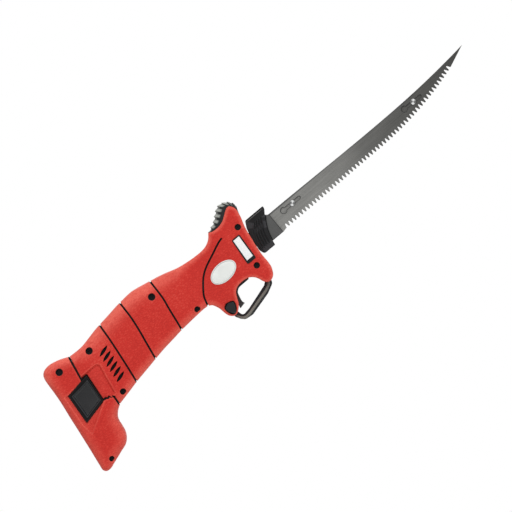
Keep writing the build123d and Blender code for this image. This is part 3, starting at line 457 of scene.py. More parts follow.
def ring_quads(rows, count, flip=False, start=0):
    """Faces that join each ring of count vertices to the next one."""
    faces = []
    for row in range(rows - 1):
        for k in range(count):
            a, b = start + row * count + k, start + row * count + (k + 1) % count
            faces.append((b, a, a + count, b + count) if flip else (a, b, b + count, a + count))
    return faces


def fill(outline):
    """Faces, as indices, that fill a closed outline."""
    count = len(outline)
    made = delaunay_2d_cdt(outline, [(k, (k + 1) % count) for k in range(count)], [], 1, 1e-6)
    return [[made[3][i][0] for i in face] for face in made[2]]


def make_object(name, verts, faces, materials, indices=None, sharp=38.0, pale=None):
    mesh = bpy.data.meshes.new(name)
    mesh.from_pydata([tuple(v * MM for v in p) for p in verts], [], [tuple(int(i) for i in f) for f in faces])
    for material in materials:
        mesh.materials.append(material)
    if indices is not None:
        mesh.polygons.foreach_set("material_index", indices)
    mesh.polygons.foreach_set("use_smooth", [True] * len(mesh.polygons))
    if pale is not None:
        mesh.attributes.new("pale", "FLOAT", "POINT").data.foreach_set("value", pale)
    mesh.validate()
    mesh.update()
    mesh.set_sharp_from_angle(angle=math.radians(sharp))
    return add_object(name, mesh)


def skin_sheet(runs, half_width, rim_start, edge_shade, highlight_gain, holes=(), grooves=(), vents=(), dent=None):
    """Outer surface of one side of a moulding: a crowned side whose edges roll over to the parting line.

    Returns vertices (along, across, up) for the side with negative Y, the faces, a material index for each
    face and how pale each vertex is.
    """
    outline = np.vstack([r[:-1] for r in runs])
    rounded = np.concatenate([r[:-1, 2] > 0 for r in runs])
    loop = outline[:, :2]
    centre_lines = [smooth_run(groove, 1.2) for groove in grooves]
    loops = [loop, *holes, *vents]
    loops += [shrink(vent, VENT_STEP) for vent in vents] + [shrink(hole, -HOLE_STEP) for hole in holes]
    open_lines = []
    for line in centre_lines:
        for shift in (-GROOVE_HALF, GROOVE_STEP - GROOVE_HALF, GROOVE_HALF - GROOVE_STEP, GROOVE_HALF):
            open_lines.append(line + left_of(line) * shift)
    points = [p for part in loops for p in part]
    edges = []
    start = 0
    for part in loops:
        edges += [(start + i, start + (i + 1) % len(part)) for i in range(len(part))]
        start += len(part)
    for line in open_lines:
        points += list(line)
        edges += [(start + i, start + i + 1) for i in range(len(line) - 1)]
        start += len(line)
    fixed = np.array(points)
    low, high = loop.min(0), loop.max(0)
    row_step = SHEET_STEP * 0.866
    gx, gz = np.meshgrid(np.arange(low[0], high[0], SHEET_STEP), np.arange(low[1], high[1], row_step))
    gx[1::2] += SHEET_STEP / 2
    grid = np.stack([gx.ravel(), gz.ravel()], 1)
    grid = grid[inside(grid, loop)]
    rows = []
    inward = left_of(loop, True) * np.sign(signed_area(loop))
    radius = np.where(rounded, outline[:, 2], 0.0)
    for fraction in ROLL_ROWS:
        row = (loop + inward * (fraction * radius)[:, None])[rounded]
        away = nearest(row, loop, True)[0]
        wanted = (fraction * radius)[rounded]
        rows.append(row[(away > 0.9 * wanted) & inside(row, loop)])
    for row in rows:
        far = nearest(grid, row)[0] if len(row) > 1 else np.full(len(grid), 9.0)
        grid = grid[far > 0.3]
    grid = grid[nearest(grid, loop, True)[0] > 0.4]
    for line, closed in [(line, False) for line in open_lines] + [(part, True) for part in loops[1:]]:
        grid = grid[nearest(grid, line, closed)[0] > 0.38]
        rows = [row[nearest(row, line, closed)[0] > 0.25] for row in rows]
    free = np.vstack([grid] + rows)
    everything = [Vector(p) for p in np.vstack([fixed, free])]
    made = delaunay_2d_cdt(everything, edges, [], 0, 1e-4)
    flat = np.array([(v.x, v.y) for v in made[0]])
    triangles = np.array([f for f in made[2] if len(f) == 3])
    middle = flat[triangles].mean(1)
    keep = inside(middle, loop)
    for hole in holes:
        keep &= ~inside(middle, hole)
    triangles, middle = triangles[keep], middle[keep]

    # how deep each place is cut by grooves, vents and finger dents
    depth = np.zeros(len(flat))
    black_face = np.zeros(len(triangles), bool)
    for line in centre_lines:
        away = nearest(flat, line)[0]
        depth = np.maximum(depth, GROOVE_DEPTH * step_up(GROOVE_HALF + 0.02 - away, 0.0, GROOVE_STEP))
        black_face |= nearest(middle, line)[0] < GROOVE_HALF - 0.02
    for vent in vents:
        within = inside(flat, vent)
        away = nearest(flat, vent, True)[0]
        depth = np.maximum(depth, np.where(within & (away > 0.1), VENT_DEPTH, 0.0))
        black_face |= inside(middle, vent)
    for hole in holes:
        away = nearest(flat, hole, True)[0]
        depth = np.maximum(depth, 0.35 * step_up(0.4 - away, 0.0, 0.4))

    # silhouette edges roll over; seam edges only lose their corner
    rounded_runs = [r for r in runs if r[:, 2].max() > 0]
    seam_runs = [r for r in runs if r[:, 2].max() == 0]
    away = np.full(len(flat), 1e9)
    spot = np.zeros((len(flat), 2))
    radius = np.ones(len(flat))
    for run in rounded_runs:
        d, q, k = nearest(flat, run[:, :2])
        closer = d < away
        away[closer], spot[closer] = d[closer], q[closer]
        radius[closer] = np.interp(k, np.arange(len(run)), run[:, 2])[closer]
    outward = spot - flat
    length = np.linalg.norm(outward, axis=1)
    boundary_normal = nearest_normals(flat, loop)
    outward = np.where(length[:, None] > 0.02, outward / np.maximum(length, 1e-9)[:, None], boundary_normal)
    reach = np.clip((radius - away) / radius, 0, 1)
    across = np.sqrt(1 - reach**2)
    height = half_width(flat) - radius * (1 - across)
    for run in seam_runs:
        d = nearest(flat, run[:, :2])[0]
        height -= 0.5 * (1 - np.sqrt(1 - np.clip((0.5 - d) / 0.5, 0, 1) ** 2))
    if dent is not None:
        height -= dent(flat)
    cut = flat - outward * reach[:, None] * depth[:, None]
    verts = np.stack([cut[:, 0], -(height - across * depth), cut[:, 1]], 1)
    # painted highlight along the rolled edges, widest where their radius is largest
    pale = np.clip(1 - away / (1.7 * np.maximum(radius, 1.0)), 0, 1) ** 1.4
    # faces look outwards, towards negative Y
    a, b, c = (flat[triangles[:, k]] for k in range(3))
    turn = (b[:, 0] - a[:, 0]) * (c[:, 1] - a[:, 1]) - (b[:, 1] - a[:, 1]) * (c[:, 0] - a[:, 0])
    triangles[turn < 0] = triangles[turn < 0][:, ::-1]
    faces = [tuple(t) for t in triangles]
    marks = list(black_face.astype(int))

    # the strip from the rolled edge to the parting line
    used = {}
    for face in faces:
        for k in range(3):
            used[(face[k], face[(k + 1) % 3])] = True
    rim = [(i, j) for i, j in used if (j, i) not in used]
    on_rounded = (away < 0.03) & (nearest(flat, loop, True)[0] < 0.03)
    limits = rim_start(flat)
    extra = {}
    all_verts = [tuple(v) for v in verts]
    # painted highlight: the rolled-edge band, scaled along the piece, plus the highlight round the scoops
    shades = list(highlight_gain(flat) * pale + edge_shade(flat))

    def strip_point(i, k):
        if k == 0:
            return i
        if (i, k) not in extra:
            y0, y1 = verts[i, 1], -limits[i]
            groove_shift = outward[i] * depth[i]
            extra[(i, k)] = len(all_verts)
            base = flat[i] - groove_shift
            all_verts.append((base[0], y0 + (y1 - y0) * k / STRIP_STEPS, base[1]))
            shades.append(STRIP_SHADE)
        return extra[(i, k)]

    for i, j in rim:
        if on_rounded[i] and on_rounded[j]:
            black = int(depth[i] > 0.5 or depth[j] > 0.5)
            for k in range(STRIP_STEPS):
                near = (strip_point(j, k), strip_point(i, k))
                faces.append(near + (strip_point(i, k + 1), strip_point(j, k + 1)))
                marks.append(black)
    return all_verts, faces, marks, shades


def nearest_normals(points, loop):
    """Outward 2-D normal of the loop at the place nearest each point."""
    ahead = np.roll(loop, -1, 0) - loop
    normal = np.stack([ahead[:, 1], -ahead[:, 0]], 1)
    normal /= np.maximum(np.linalg.norm(normal, axis=1), 1e-9)[:, None]
    vertex = normal + np.roll(normal, 1, 0)
    vertex /= np.maximum(np.linalg.norm(vertex, axis=1), 1e-9)[:, None]
    out = np.zeros((len(points), 2))
    for start in range(0, len(points), 4000):
        d = np.linalg.norm(points[start : start + 4000, None] - loop[None], axis=2)
        out[start : start + 4000] = vertex[d.argmin(1)]
    return out * np.sign(signed_area(loop))


def both_sides(name, sheets, body, replaced, materials):
    """Makes the right piece from the first sheet, and the left one by mirroring the second."""
    for side, sign, sheet in (("right", 1, sheets[0]), ("left", -1, sheets[1])):
        verts, faces, marks, shades = sheet
        points = [(x, y * sign, z) for x, y, z in verts]
        turned = faces if sign > 0 else [f[::-1] for f in faces]
        obj = make_object(f"{name}_{side}", points, turned, materials, marks, pale=shades)
        solid = obj.modifiers.new("thickness", "SOLIDIFY")
        solid.thickness = SKIN_THICK * MM
        solid.offset = -1.0
        solid.use_even_offset = False
        solid.use_rim = True
        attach(obj, body)
        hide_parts(f"{replaced}_{side}")


def handle_half(points):
    """Half width of the handle: flat head, crowned grip, flaring to the battery."""
    x, z = points[:, 0], points[:, 1]
    grip = step_up(-x, 58, 84)
    width = HEAD_HALF + (GRIP_HALF - HEAD_HALF) * grip
    width += (FOOT_HALF - GRIP_HALF) * step_up(-x, 168, 198)
    crown = 0.5 * grip * ((z - 4) / 28) ** 2
    return width - crown


def battery_half(points):
    return np.full(len(points), FOOT_HALF)


def handle_rim(points):
    """How far from the middle the rolled edge stops: wide at the socket and trigger slot."""
    x, z = points[:, 0], points[:, 1]
    limit = np.full(len(points), 0.05)
    limit[(x > -6.5) & (z > -18.7) & (z < 18.9)] = 10.5
    limit[(x > -57.6) & (x < -27.2) & (z < -22.0)] = 6.3
    return limit


def battery_rim(points):
    return np.full(len(points), 0.05)


def handle_highlight(points):
    """Painted highlight, strongest along the top of the grip, where the light falls."""
    x, z = points[:, 0], points[:, 1]
    return 0.95 + 0.35 * step_up(z, 18, 30) * step_up(-x, 85, 105)


def battery_highlight(points):
    """Painted highlight, strongest at the top of the battery, less towards its toe."""
    return 0.62 + 0.55 * step_up(points[:, 1], 8, 26)


SCOOP_HANDLE = np.array([(-214, 5.0), (-187.5, 5.0), (-184.8, 2.0), (-190.6, -28.0), (-214, -28.0)])
SCOOP_FOOT = np.array(
    [(-203, -22.0), (-203.5, -26.6), (-231.5, -42.5), (-232.6, -30.0), (-229.6, -0.5), (-205, 0.0)]
)


def scoop(polygon, depth, width):
    """A shallow finger recess with sloping walls inside the polygon."""

    def dent(points):
        away = nearest(points, polygon, True)[0]
        return np.where(inside(points, polygon), depth * step_up(away, 0.0, width), 0.0)

    return dent


def scoop_shade(polygon, width, floor_shade=0.06):
    """Painted highlight along the recess's edge, and a little over its floor."""

    def shade(points):
        away = nearest(points, polygon, True)[0]
        return np.maximum(0.35 * np.clip(1 - away / width, 0, 1), floor_shade * inside(points, polygon))

    return shade


handle_runs = [smooth_run(run) for run in (HANDLE_TOP, THUMB_EDGE, NOSE_EDGE, HANDLE_BOTTOM)]
handle_runs += [straight_run(HANDLE_SEAM)]
battery_runs = [smooth_run(BATTERY_BACK), straight_run(BATTERY_SEAM)]
screw_holes = [ring(*hole) for hole in HANDLE_HOLES]
pocket = shrink(smooth_run(SAFETY_POCKET + SAFETY_POCKET[:1], 0.8)[:-1], -0.4)
bolt_hole = ring(-58.5, -36.5, 3.2)
handle_sheets = [
    skin_sheet(
        handle_runs, handle_half, handle_rim, scoop_shade(SCOOP_HANDLE, 1.3), handle_highlight, holes,
        GROOVE_LINES, [lens(*vent) for vent in VENTS], scoop(SCOOP_HANDLE, 2.0, 1.8),
    )
    for holes in (screw_holes + [pocket], [bolt_hole])
]
battery_sheets = [
    skin_sheet(
        battery_runs, battery_half, battery_rim, scoop_shade(SCOOP_FOOT, 1.3, 0.12), battery_highlight, holes,
        dent=scoop(SCOOP_FOOT, 1.5, 1.8),
    )
    for holes in ([ring(*hole) for hole in BATTERY_HOLES], [])
]
both_sides("soft_grip", handle_sheets, "handle", "grip_skin", [red, groove_black])
both_sides("soft_foot", battery_sheets, "battery", "battery_skin", [red, groove_black])

# ---------------------------------------------------------------- finishes for the carried-over pieces
rubber = moulded_plastic("ribbed_rubber", (0.016, 0.016, 0.017), (0.16, 0.16, 0.165), 600.0, 0.55, 0.75, 0.25)
button_face = moulded_plastic("button_face", (0.022, 0.022, 0.023), (0.08, 0.08, 0.08), 420.0, 0.5, 0.7, 0.5)
trigger_black = moulded_plastic(
    "trigger_black", (0.030, 0.030, 0.031), (0.12, 0.12, 0.12), 700.0, 0.4, 0.55, 0.2
)
guard_sheen = moulded_plastic(
    "guard_sheen", (0.125, 0.115, 0.097), (0.16, 0.15, 0.13), 800.0, 0.3, 0.45, 0.2, 0.4
)
grip_highlight_grey = moulded_plastic("grip_highlight_grey", (0.070, 0.069, 0.066), (0.16, 0.16, 0.16), 800.0, 0.35, 0.5, 0.2, 0.4)
shroud_grey = moulded_plastic(
    "shroud_grey", (0.060, 0.060, 0.058), (0.12, 0.12, 0.12), 800.0, 0.35, 0.5, 0.2, 0.4
)
blade_steel = ground_blade("blade_steel")
bright = metal("bright_steel", (0.75, 0.75, 0.76), 0.14, 0.26)
screw_black = metal("blackened_screw", (0.022, 0.021, 0.022), 0.32, 0.48)
slot_shadow_metal = metal("dark_slot_shadow", (0.062, 0.062, 0.062), 0.35, 0.50)
steel = metal("drawn_steel", (0.45, 0.45, 0.46), 0.28, 0.42, (0.05, 1.0, 1.0))
copper = metal("copper", (0.72, 0.36, 0.20), 0.22, 0.38)
iron = metal("sintered_iron", (0.09, 0.09, 0.10), 0.45, 0.62)
nylon = moulded_plastic("natural_nylon", (0.62, 0.60, 0.52), (0.75, 0.74, 0.70), 500.0, 0.35, 0.5, 0.1)
board = moulded_plastic("board_green", (0.02, 0.12, 0.05), (0.10, 0.30, 0.14), 400.0, 0.3, 0.45, 0.1)
sleeve = moulded_plastic("cell_sleeve", (0.03, 0.11, 0.26), (0.10, 0.22, 0.40), 300.0, 0.25, 0.4, 0.05)
wire = moulded_plastic("wire_sleeve", (0.45, 0.02, 0.02), (0.6, 0.1, 0.1), 500.0, 0.3, 0.45, 0.1)
badge_grey = moulded_plastic("badge_grey", (0.66, 0.67, 0.64), (0.75, 0.75, 0.72), 1200.0, 0.3, 0.4, 0.05)
badge_line = moulded_plastic("badge_line", (0.36, 0.37, 0.36), (0.45, 0.45, 0.45), 1200.0, 0.3, 0.4, 0.05)
panel_white = moulded_plastic("panel_white", (0.72, 0.72, 0.71), (0.78, 0.78, 0.77), 1500.0, 0.35, 0.5, 0.08)

FINISHES = {
    "black_shell": black, "black_rubber": rubber, "badge": badge_grey, "plate": black,
    "screw_steel": screw_black, "blade_steel": blade_steel, "bright_steel": bright, "motor_steel": steel,
    "magnet": iron, "copper": copper, "nylon": nylon, "board": board, "cell": sleeve, "lead": wire,
    "red_grip": red,
}
slots = {s["node"]: s["material_slot"] for s in frame["record"]["subparts"]}
for name, obj in nodes.items():
    obj.data.materials.clear()
    obj.data.materials.append(FINISHES[slots[name]])
RIVET_Z = 2.0
RIVETS = (("front", 193.0), ("rear", 47.0))
for label, x in RIVETS:
    nodes[label + "_rivet"].data.materials[0] = turned_head(label + "_rivet_head", x, RIVET_Z)
nodes["trigger"].data.materials[0] = trigger_black


def soften(name, width):
    """Breaks the hard edges of a carried-over piece."""
    obj = nodes[name]
    weld = obj.modifiers.new("weld", "WELD")
    weld.merge_threshold = 0.00001
    bevel = obj.modifiers.new("edges", "BEVEL")
    bevel.width = width * MM
    bevel.segments = 2
    bevel.limit_method = "ANGLE"
    bevel.angle_limit = math.radians(35.0)
    bevel.harden_normals = True


for side in ("right", "left"):
    soften(side + "_blade_grip", 0.35)
    soften("side_plate_" + side, 0.25)
soften("trigger", 0.5)
soften("safety_bolt", 0.6)


# ---------------------------------------------------------------- ribs, lines and pads laid on the pieces
BEAD_ARC = 6
BEAD_SINK = 0.3
BEAD_TAPER = 3


def bead(paths, face, half, rise, closed=False):
    """Half-round beads along paths on a side face; face is the signed distance across."""
    verts, faces = [], []
    out = 1.0 if face > 0 else -1.0
    for path in paths:
        line = np.array(path, float)
        count = len(line)
        side = left_of(line, closed)
        start = len(verts)
        for i in range(count):
            from_end = count if closed else min(i, count - 1 - i)
            size = min(1.0, 0.25 + 0.75 * from_end / BEAD_TAPER)
            for k in range(BEAD_ARC + 1):
                turn = math.pi * k / BEAD_ARC
                spot = line[i] + side[i] * half * size * math.cos(turn)
                verts.append((spot[0], face + out * rise * size * math.sin(turn), spot[1]))
            for shift in (-half * size, half * size):
                spot = line[i] + side[i] * shift
                verts.append((spot[0], face - out * BEAD_SINK, spot[1]))
        ring_size = BEAD_ARC + 3
        for i in range(count if closed else count - 1):
            a, b = start + i * ring_size, start + ((i + 1) % count) * ring_size
            for k in range(ring_size):
                n = (k + 1) % ring_size
                faces.append((a + k, a + n, b + n, b + k) if out < 0 else (a + n, a + k, b + k, b + n))
        if not closed:
            first = tuple(start + k for k in range(ring_size))
            last = tuple(start + (count - 1) * ring_size + k for k in range(ring_size))
            faces += [first[::-1], last] if out < 0 else [first, last[::-1]]
    return verts, faces


def lay(name, shape, body, material, replaces=None, sharp=40.0):
    """Makes a piece that moves with the body."""
    obj = make_object(name, shape[0], shape[1], [material], sharp=sharp)
    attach(obj, body)
    if replaces:
        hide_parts(replaces)
    return obj


def bars(places, half_y, radius):
    """Round bars laid across the knife, one at each (along, up) place."""
    verts, faces = [], []
    turns = 10
    for x, z in places:
        start = len(verts)
        full = half_y - 0.5 * radius
        stations = [(-half_y, 0.45), (-full, 1.0), (full, 1.0), (half_y, 0.45)]
        for y, size in stations:
            for k in range(turns):
                turn = 2 * math.pi * k / turns
                reach = radius * size
                verts.append((x + reach * math.cos(turn), y, z + reach * math.sin(turn)))
        faces += ring_quads(len(stations), turns, start=start)
        faces.append(tuple(start + k for k in range(turns))[::-1])
        faces.append(tuple(start + (len(stations) - 1) * turns + k for k in range(turns)))
    return verts, faces


PLATE_SINK = 0.4


def plate(outline, face, rise, chamfer, dish=0.0):
    """A flat pad with a chamfered edge on a side face; face is the signed distance across."""
    out = 1.0 if face > 0 else -1.0
    loop = np.array(outline, float)
    count = len(loop)
    if signed_area(loop) < 0:
        loop = loop[::-1]
    rings = [(0.0, -PLATE_SINK), (0.0, rise - chamfer), (chamfer, rise), (2.2 * chamfer, rise - dish)]
    inward = loop.mean(0) - loop
    inward /= np.linalg.norm(inward, axis=1)[:, None]
    verts = [(p[0], face + out * up, p[1]) for inset, up in rings for p in loop + inward * inset * 1.2]
    faces = ring_quads(len(rings), count, out > 0)
    for row, turned in ((0, out < 0), (len(rings) - 1, out > 0)):
        flat = [Vector((verts[row * count + k][0], verts[row * count + k][2])) for k in range(count)]
        for ids in fill(flat):
            a, b, c = (flat[i] for i in ids[:3])
            clockwise = (b - a).cross(c - a) < 0
            ids = [row * count + i for i in ids]
            faces.append(tuple(ids) if clockwise == turned else tuple(ids[::-1]))
    return verts, faces


def closed_run(points, step=1.0):
    """A closed outline of straight lines, resampled."""
    return straight_run(points + points[:1], step)[:-1]


def arc_points(a, b, c, count):
    """Points on a parabola through a, b and c."""
    t = np.linspace(0, 1, count)[:, None]
    a, b, c = (np.array(v, float) for v in (a, b, c))
    control = 2 * b - 0.5 * (a + c)
    return (1 - t) ** 2 * a + 2 * t * (1 - t) * control + t**2 * c


# ribs round the back of each blade grip, and a pale line along its top as a painted highlight
RIB_STEP = 2.6
GRIP_FACE = 9.0
for side, sign in SIDES:
    cutter = side + "_cutter"
    ribs = []
    for i in range(5):
        shift = RIB_STEP * i
        ribs.append(arc_points((17.7 - shift, 11.4), (11.1 - shift, -1.0), (8.6 - shift, -13.6 - 0.4 * i), 18))
    lay(side + "_grip_ribs", bead(ribs, sign * GRIP_FACE, 0.62, 0.55), cutter, black)
    top_highlight = [[(x, 15.9) for x in np.linspace(2.0, 22.6, 16)]]
    lay(side + "_grip_top_line", bead(top_highlight, sign * GRIP_FACE, 0.32, 0.22), cutter, grip_highlight_grey)
    back_edge = list(arc_points((21.2, 9.0), (14.9, -1.0), (11.6, -12.4), 12))
    front_edge = straight_run([(12.4, -12.6), (23.3, -12.6), (23.3, 7.6), (22.4, 8.8)], 1.5)
    shroud = np.vstack([back_edge, front_edge])
    lay(side + "_shroud_face", plate(shroud, sign * 6.0, 0.35, 0.3), cutter, shroud_grey)

# painted shadow: dark beads round the edges of the long slots and keyholes in the right blade
KEYHOLE_R = 3.1
SLOT_HALF = 1.6
for label, x in RIVETS:
    hole_x, slot_end = x - 10.5, x + 8.0
    turn = np.linspace(math.radians(31), math.radians(329), 30)
    outline = [(hole_x + KEYHOLE_R * math.cos(t), RIVET_Z + KEYHOLE_R * math.sin(t)) for t in turn]
    lower = [(v, RIVET_Z - SLOT_HALF) for v in np.linspace(hole_x + 3.4, slot_end, 12)]
    turn = np.linspace(0, math.pi, 9)[1:-1]
    end = [(slot_end + SLOT_HALF * math.sin(t), RIVET_Z - SLOT_HALF * math.cos(t)) for t in turn]
    upper = [(v, RIVET_Z + SLOT_HALF) for v in np.linspace(slot_end, hole_x + 3.4, 12)]
    slot_shadow = bead([outline + lower + end + upper], -1.3, 0.24, 0.14, closed=True)
    lay(label + "_slot_shadow", slot_shadow, "right_cutter", slot_shadow_metal)

# serrations down the front of the trigger
TRIGGER_FACE = [
    (-44.9, -25.6), (-45.3, -28.5), (-46.1, -32.0), (-47.0, -35.5), (-47.2, -38.2),
    (-46.6, -40.2),
]
trigger_bars = smooth_run(TRIGGER_FACE, 1.15)
lay("trigger_serrations", bars(trigger_bars, 5.6, 0.52), "trigger_lever", trigger_black)

# raised line round the guard, in grey as a painted highlight along its bevel
GUARD_LINE = [
    (-59.3, -44.0), (-57.6, -48.2), (-54.6, -50.7), (-50.0, -51.0), (-44.0, -49.6),
    (-34.0, -46.9), (-24.0, -44.2), (-18.4, -41.6), (-15.2, -38.6),
]
guard_line = smooth_run(GUARD_LINE, 1.0)
for side, sign in SIDES:
    lay("guard_line_" + side, bead([guard_line], sign * 8.4, 1.25, 0.6), "handle", guard_sheen)

# ---------------------------------------------------------------- ribbed thumb pad
# Crest of the pad from its front end over the top to the back.
PAD_CREST = [
    (5.6, 33.6), (5.4, 36.6), (3.8, 39.6), (1.0, 42.4), (-2.6, 44.3), (-7.4, 44.9),
    (-11.6, 43.2), (-15.2, 40.4), (-18.6, 37.6), (-22.4, 35.0), (-26.6, 33.2),
    (-30.2, 31.2),
]
PAD_STEP = 0.45
PAD_SIDE = 19.4
PAD_RIM = 19.0
CROWN_HALF = 7.0
CROWN_REACH = 11.6
RIDGE_COUNT = 9
RIDGE_TALL = 1.5
RIDGE_LEAN = 0.12
PAD_BAND = 0.30
# the pale grey is a painted highlight on the ridges' open flanks
pad_rubber = ridged_rubber("ridged_rubber", BLACK, (0.50, 0.51, 0.46))


def pad_shape():
    """Crowned pad whose ridges hang over like steps; painted highlight on the open flanks, painted shadow
    under the lips.
    """
    crest = smooth_run(PAD_CREST, PAD_STEP)
    count = len(crest)
    share = np.concatenate([[0], np.cumsum(np.linalg.norm(np.diff(crest, axis=0), axis=1))])
    share /= share[-1]
    edge = smooth_run(THUMB_EDGE[::-1], PAD_STEP)[:, :2]
    run = np.concatenate([[0], np.cumsum(np.linalg.norm(np.diff(edge, axis=0), axis=1))])
    leaned = share - RIDGE_LEAN * np.sin(math.pi * share)
    base = np.stack([np.interp(leaned, run / run[-1], edge[:, k]) for k in (0, 1)], 1)
    phase = (share * RIDGE_COUNT) % 1.0
    drop = np.interp(phase, [0.0, 0.10, 0.30, 0.80, 1.0], [0.0, 0.9, 1.0, 0.25, 0.0])
    under = np.interp(phase, [0.0, 0.06, 0.38, 0.52, 0.86, 1.0], [0.95, 1.0, 1.0, 0.0, 0.0, 0.9])
    out = crest - base
    reach = np.linalg.norm(out, axis=1)
    out /= reach[:, None]
    top = crest - out * (RIDGE_TALL * drop)[:, None]
    sunk = base + (np.array([(-5.0, 26.0)]) - base) * 0.16
    band = np.minimum(PAD_BAND, 2.6 / np.maximum(reach, 1.0))[:, None]
    rim = base + (crest - base) * band
    below_rim = base + (crest - base) * band * 0.9
    none = 0 * share
    sides = ((sunk, PAD_RIM), (base, PAD_SIDE), (below_rim, PAD_SIDE), (rim, PAD_RIM))
    columns = [(places, across + none, none) for places, across in sides]
    for turn in np.radians([6, 18, 32, 48, 64, 78, 90]):
        notch = drop * 1.1 * math.sin(2 * turn)
        # painted shadow under each ridge's lip; painted highlight on the rest of its flank
        dark = under * (1.0 if turn < 0.7 else 0.55)
        open_side = min(1.0, turn / 0.35)
        shade = open_side * (1.0 - dark) * np.clip((share - 0.12) / 0.2, 0.12, 1.0)
        across = CROWN_HALF + CROWN_REACH * math.cos(turn) - notch
        columns.append((rim + (top - rim) * math.sin(turn), across, shade))
    verts, shades, faces = [], [], []
    for side in (-1.0, 1.0):
        for places, across, shade in columns if side < 0 else columns[::-1]:
            verts += [(p[0], side * y, p[1]) for p, y in zip(places, across)]
            shades += list(shade)
    rows = 2 * len(columns)
    for row in range(rows):
        for k in range(count - 1):
            a, b = row * count + k, ((row + 1) % rows) * count + k
            faces.append((a, a + 1, b + 1, b))
    for k in (0, count - 1):
        rim_ring = [row * count + k for row in range(rows)]
        faces.append(tuple(rim_ring if k == 0 else rim_ring[::-1]))
    return verts, faces, shades


verts, faces, shades = pad_shape()
pad = make_object("thumb_pad", verts, faces, [pad_rubber], sharp=40.0, pale=shades)
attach(pad, "handle")
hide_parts("thumb_rest")

# ---------------------------------------------------------------- release buttons, bezels and seam lip
FRAME = [(-225.9, -1.9), (-200.6, 2.5), (-203.9, -25.6), (-228.6, -31.4)]
FACE = [(-222.4, -5.0), (-204.0, -3.2), (-205.8, -22.6), (-224.0, -27.0)]


def bezel(sign):
    """Four-sided frame that slopes down from a raised outer edge to the button."""
    outer, inner = np.array(FRAME), shrink(np.array(FACE)[::-1], -0.35)[::-1]
    levels = [(0.0, 21.6), (0.0, 24.5), (0.10, 25.1), (0.34, 25.0), (0.92, 23.9), (1.0, 23.7), (1.0, 21.6)]
    verts, faces = [], []
    for share, y in levels:
        verts += [(p[0], sign * y, p[1]) for p in outer + (inner - outer) * share]
    count = len(levels)
    for row in range(count):
        for k in range(4):
            a, b = row * 4 + k, row * 4 + (k + 1) % 4
            c, d = ((row + 1) % count) * 4 + (k + 1) % 4, ((row + 1) % count) * 4 + k
            faces.append((a, d, c, b) if sign < 0 else (a, b, c, d))
    return verts, faces


for side, sign in SIDES:
    lay("button_bezel_" + side, bezel(sign), "battery", groove_black, sharp=20.0)
    face = plate(closed_run(FACE, 1.5), sign * 22.6, 2.2, 0.8, 0.25)
    replaced = "release_button_" + side
    lay("button_face_" + side, face, "button_" + side, button_face, replaced, 25.0)

SEAM_LINE = [
    (-203.1, 25.5), (-207.5, 2.0), (-200.6, 2.0), (-203.8, -25.2), (-199.0, -25.6), (-194.2, -27.0),
    (-195.4, -37.4),
]
SEAM_BACK = [
    (-198.6, -36.2), (-198.0, -29.6), (-206.0, -27.2), (-203.4, -0.6), (-210.4, -0.6), (-206.2, 24.6),
]
lip_side = [(x + 0.26, z + 0.12) for x, z in SEAM_LINE] + SEAM_BACK
lip = [(x, y, z) for y in (-18.5, 18.5) for x, z in lip_side]
lip_count = len(lip_side)
lip_faces = ring_quads(2, lip_count)
for ids in fill([Vector(p) for p in lip_side]):
    lip_faces += [tuple(ids), tuple(i + lip_count for i in ids[::-1])]
lay("seam_lip", (lip, lip_faces), "battery", groove_black, sharp=20.0)

# ---------------------------------------------------------------- badges and plates
BADGE = (-42.8, -6.0)
BADGE_TILT = math.radians(3.5)
BADGE_LONG, BADGE_TALL = 14.0, 8.6
# the badge's section from its edge inwards, as (share of its size, rise)
DOME = [
    (1.0, -0.2), (1.0, 0.35), (0.975, 0.62), (0.93, 0.74), (0.885, 0.60), (0.86, 0.60), (0.83, 0.74),
    (0.55, 0.95), (0.25, 1.05),
]
badge_turn = np.array(
    [[math.cos(BADGE_TILT), -math.sin(BADGE_TILT)], [math.sin(BADGE_TILT), math.cos(BADGE_TILT)]]
)


def badge_shape(sign):
    """A domed oval with a shallow groove inside its edge."""
    verts = []
    count = 56
    for size, rise in DOME:
        for k in range(count):
            turn = 2 * math.pi * k / count
            oval = (BADGE_LONG * size * math.cos(turn), BADGE_TALL * size * math.sin(turn))
            spot = badge_turn @ np.array(oval)
            verts.append((BADGE[0] + spot[0], sign * (HEAD_HALF + rise), BADGE[1] + spot[1]))
    faces = ring_quads(len(DOME), count, sign > 0)
    last = tuple((len(DOME) - 1) * count + k for k in range(count))
    first = tuple(range(count))
    faces += [last, first[::-1]] if sign < 0 else [last[::-1], first]
    return verts, faces


PANEL = [(-17.3, 10.2), (-10.6, 10.2), (-12.2, -11.8), (-19.2, -11.8)]
for side, sign in SIDES:
    lay("oval_badge_" + side, badge_shape(sign), "handle", badge_grey, "badge_" + side, 25.0)
    turn = np.linspace(0, 2 * math.pi, 60, endpoint=False)
    line = np.stack([13.1 * np.cos(turn), 7.7 * np.sin(turn)], 1)
    line = line @ badge_turn.T + np.array(BADGE)
    line_bead = bead([line], sign * 21.6, 0.28, 0.16, closed=True)
    lay("badge_line_" + side, line_bead, "handle", badge_line)
    low = [(x, sign * 21.3, z) for x, z in PANEL]
    edge = [(x, sign * 21.7, z) for x, z in PANEL]
    centre = np.array(PANEL).mean(0)
    top = [(x + (centre[0] - x) * 0.06, sign * 21.8, z + (centre[1] - z) * 0.03) for x, z in PANEL]
    shape_faces = [(0, 1, 5, 4), (1, 2, 6, 5), (2, 3, 7, 6), (3, 0, 4, 7)]
    shape_faces += [(a + 4, b + 4, c + 4, d + 4) for a, b, c, d in shape_faces]
    shape_faces += [(3, 2, 1, 0), (8, 9, 10, 11)]
    if sign < 0:
        shape_faces = [f[::-1] for f in shape_faces]
    lay("plain_panel_" + side, (low + edge + top, shape_faces), "handle", panel_white)

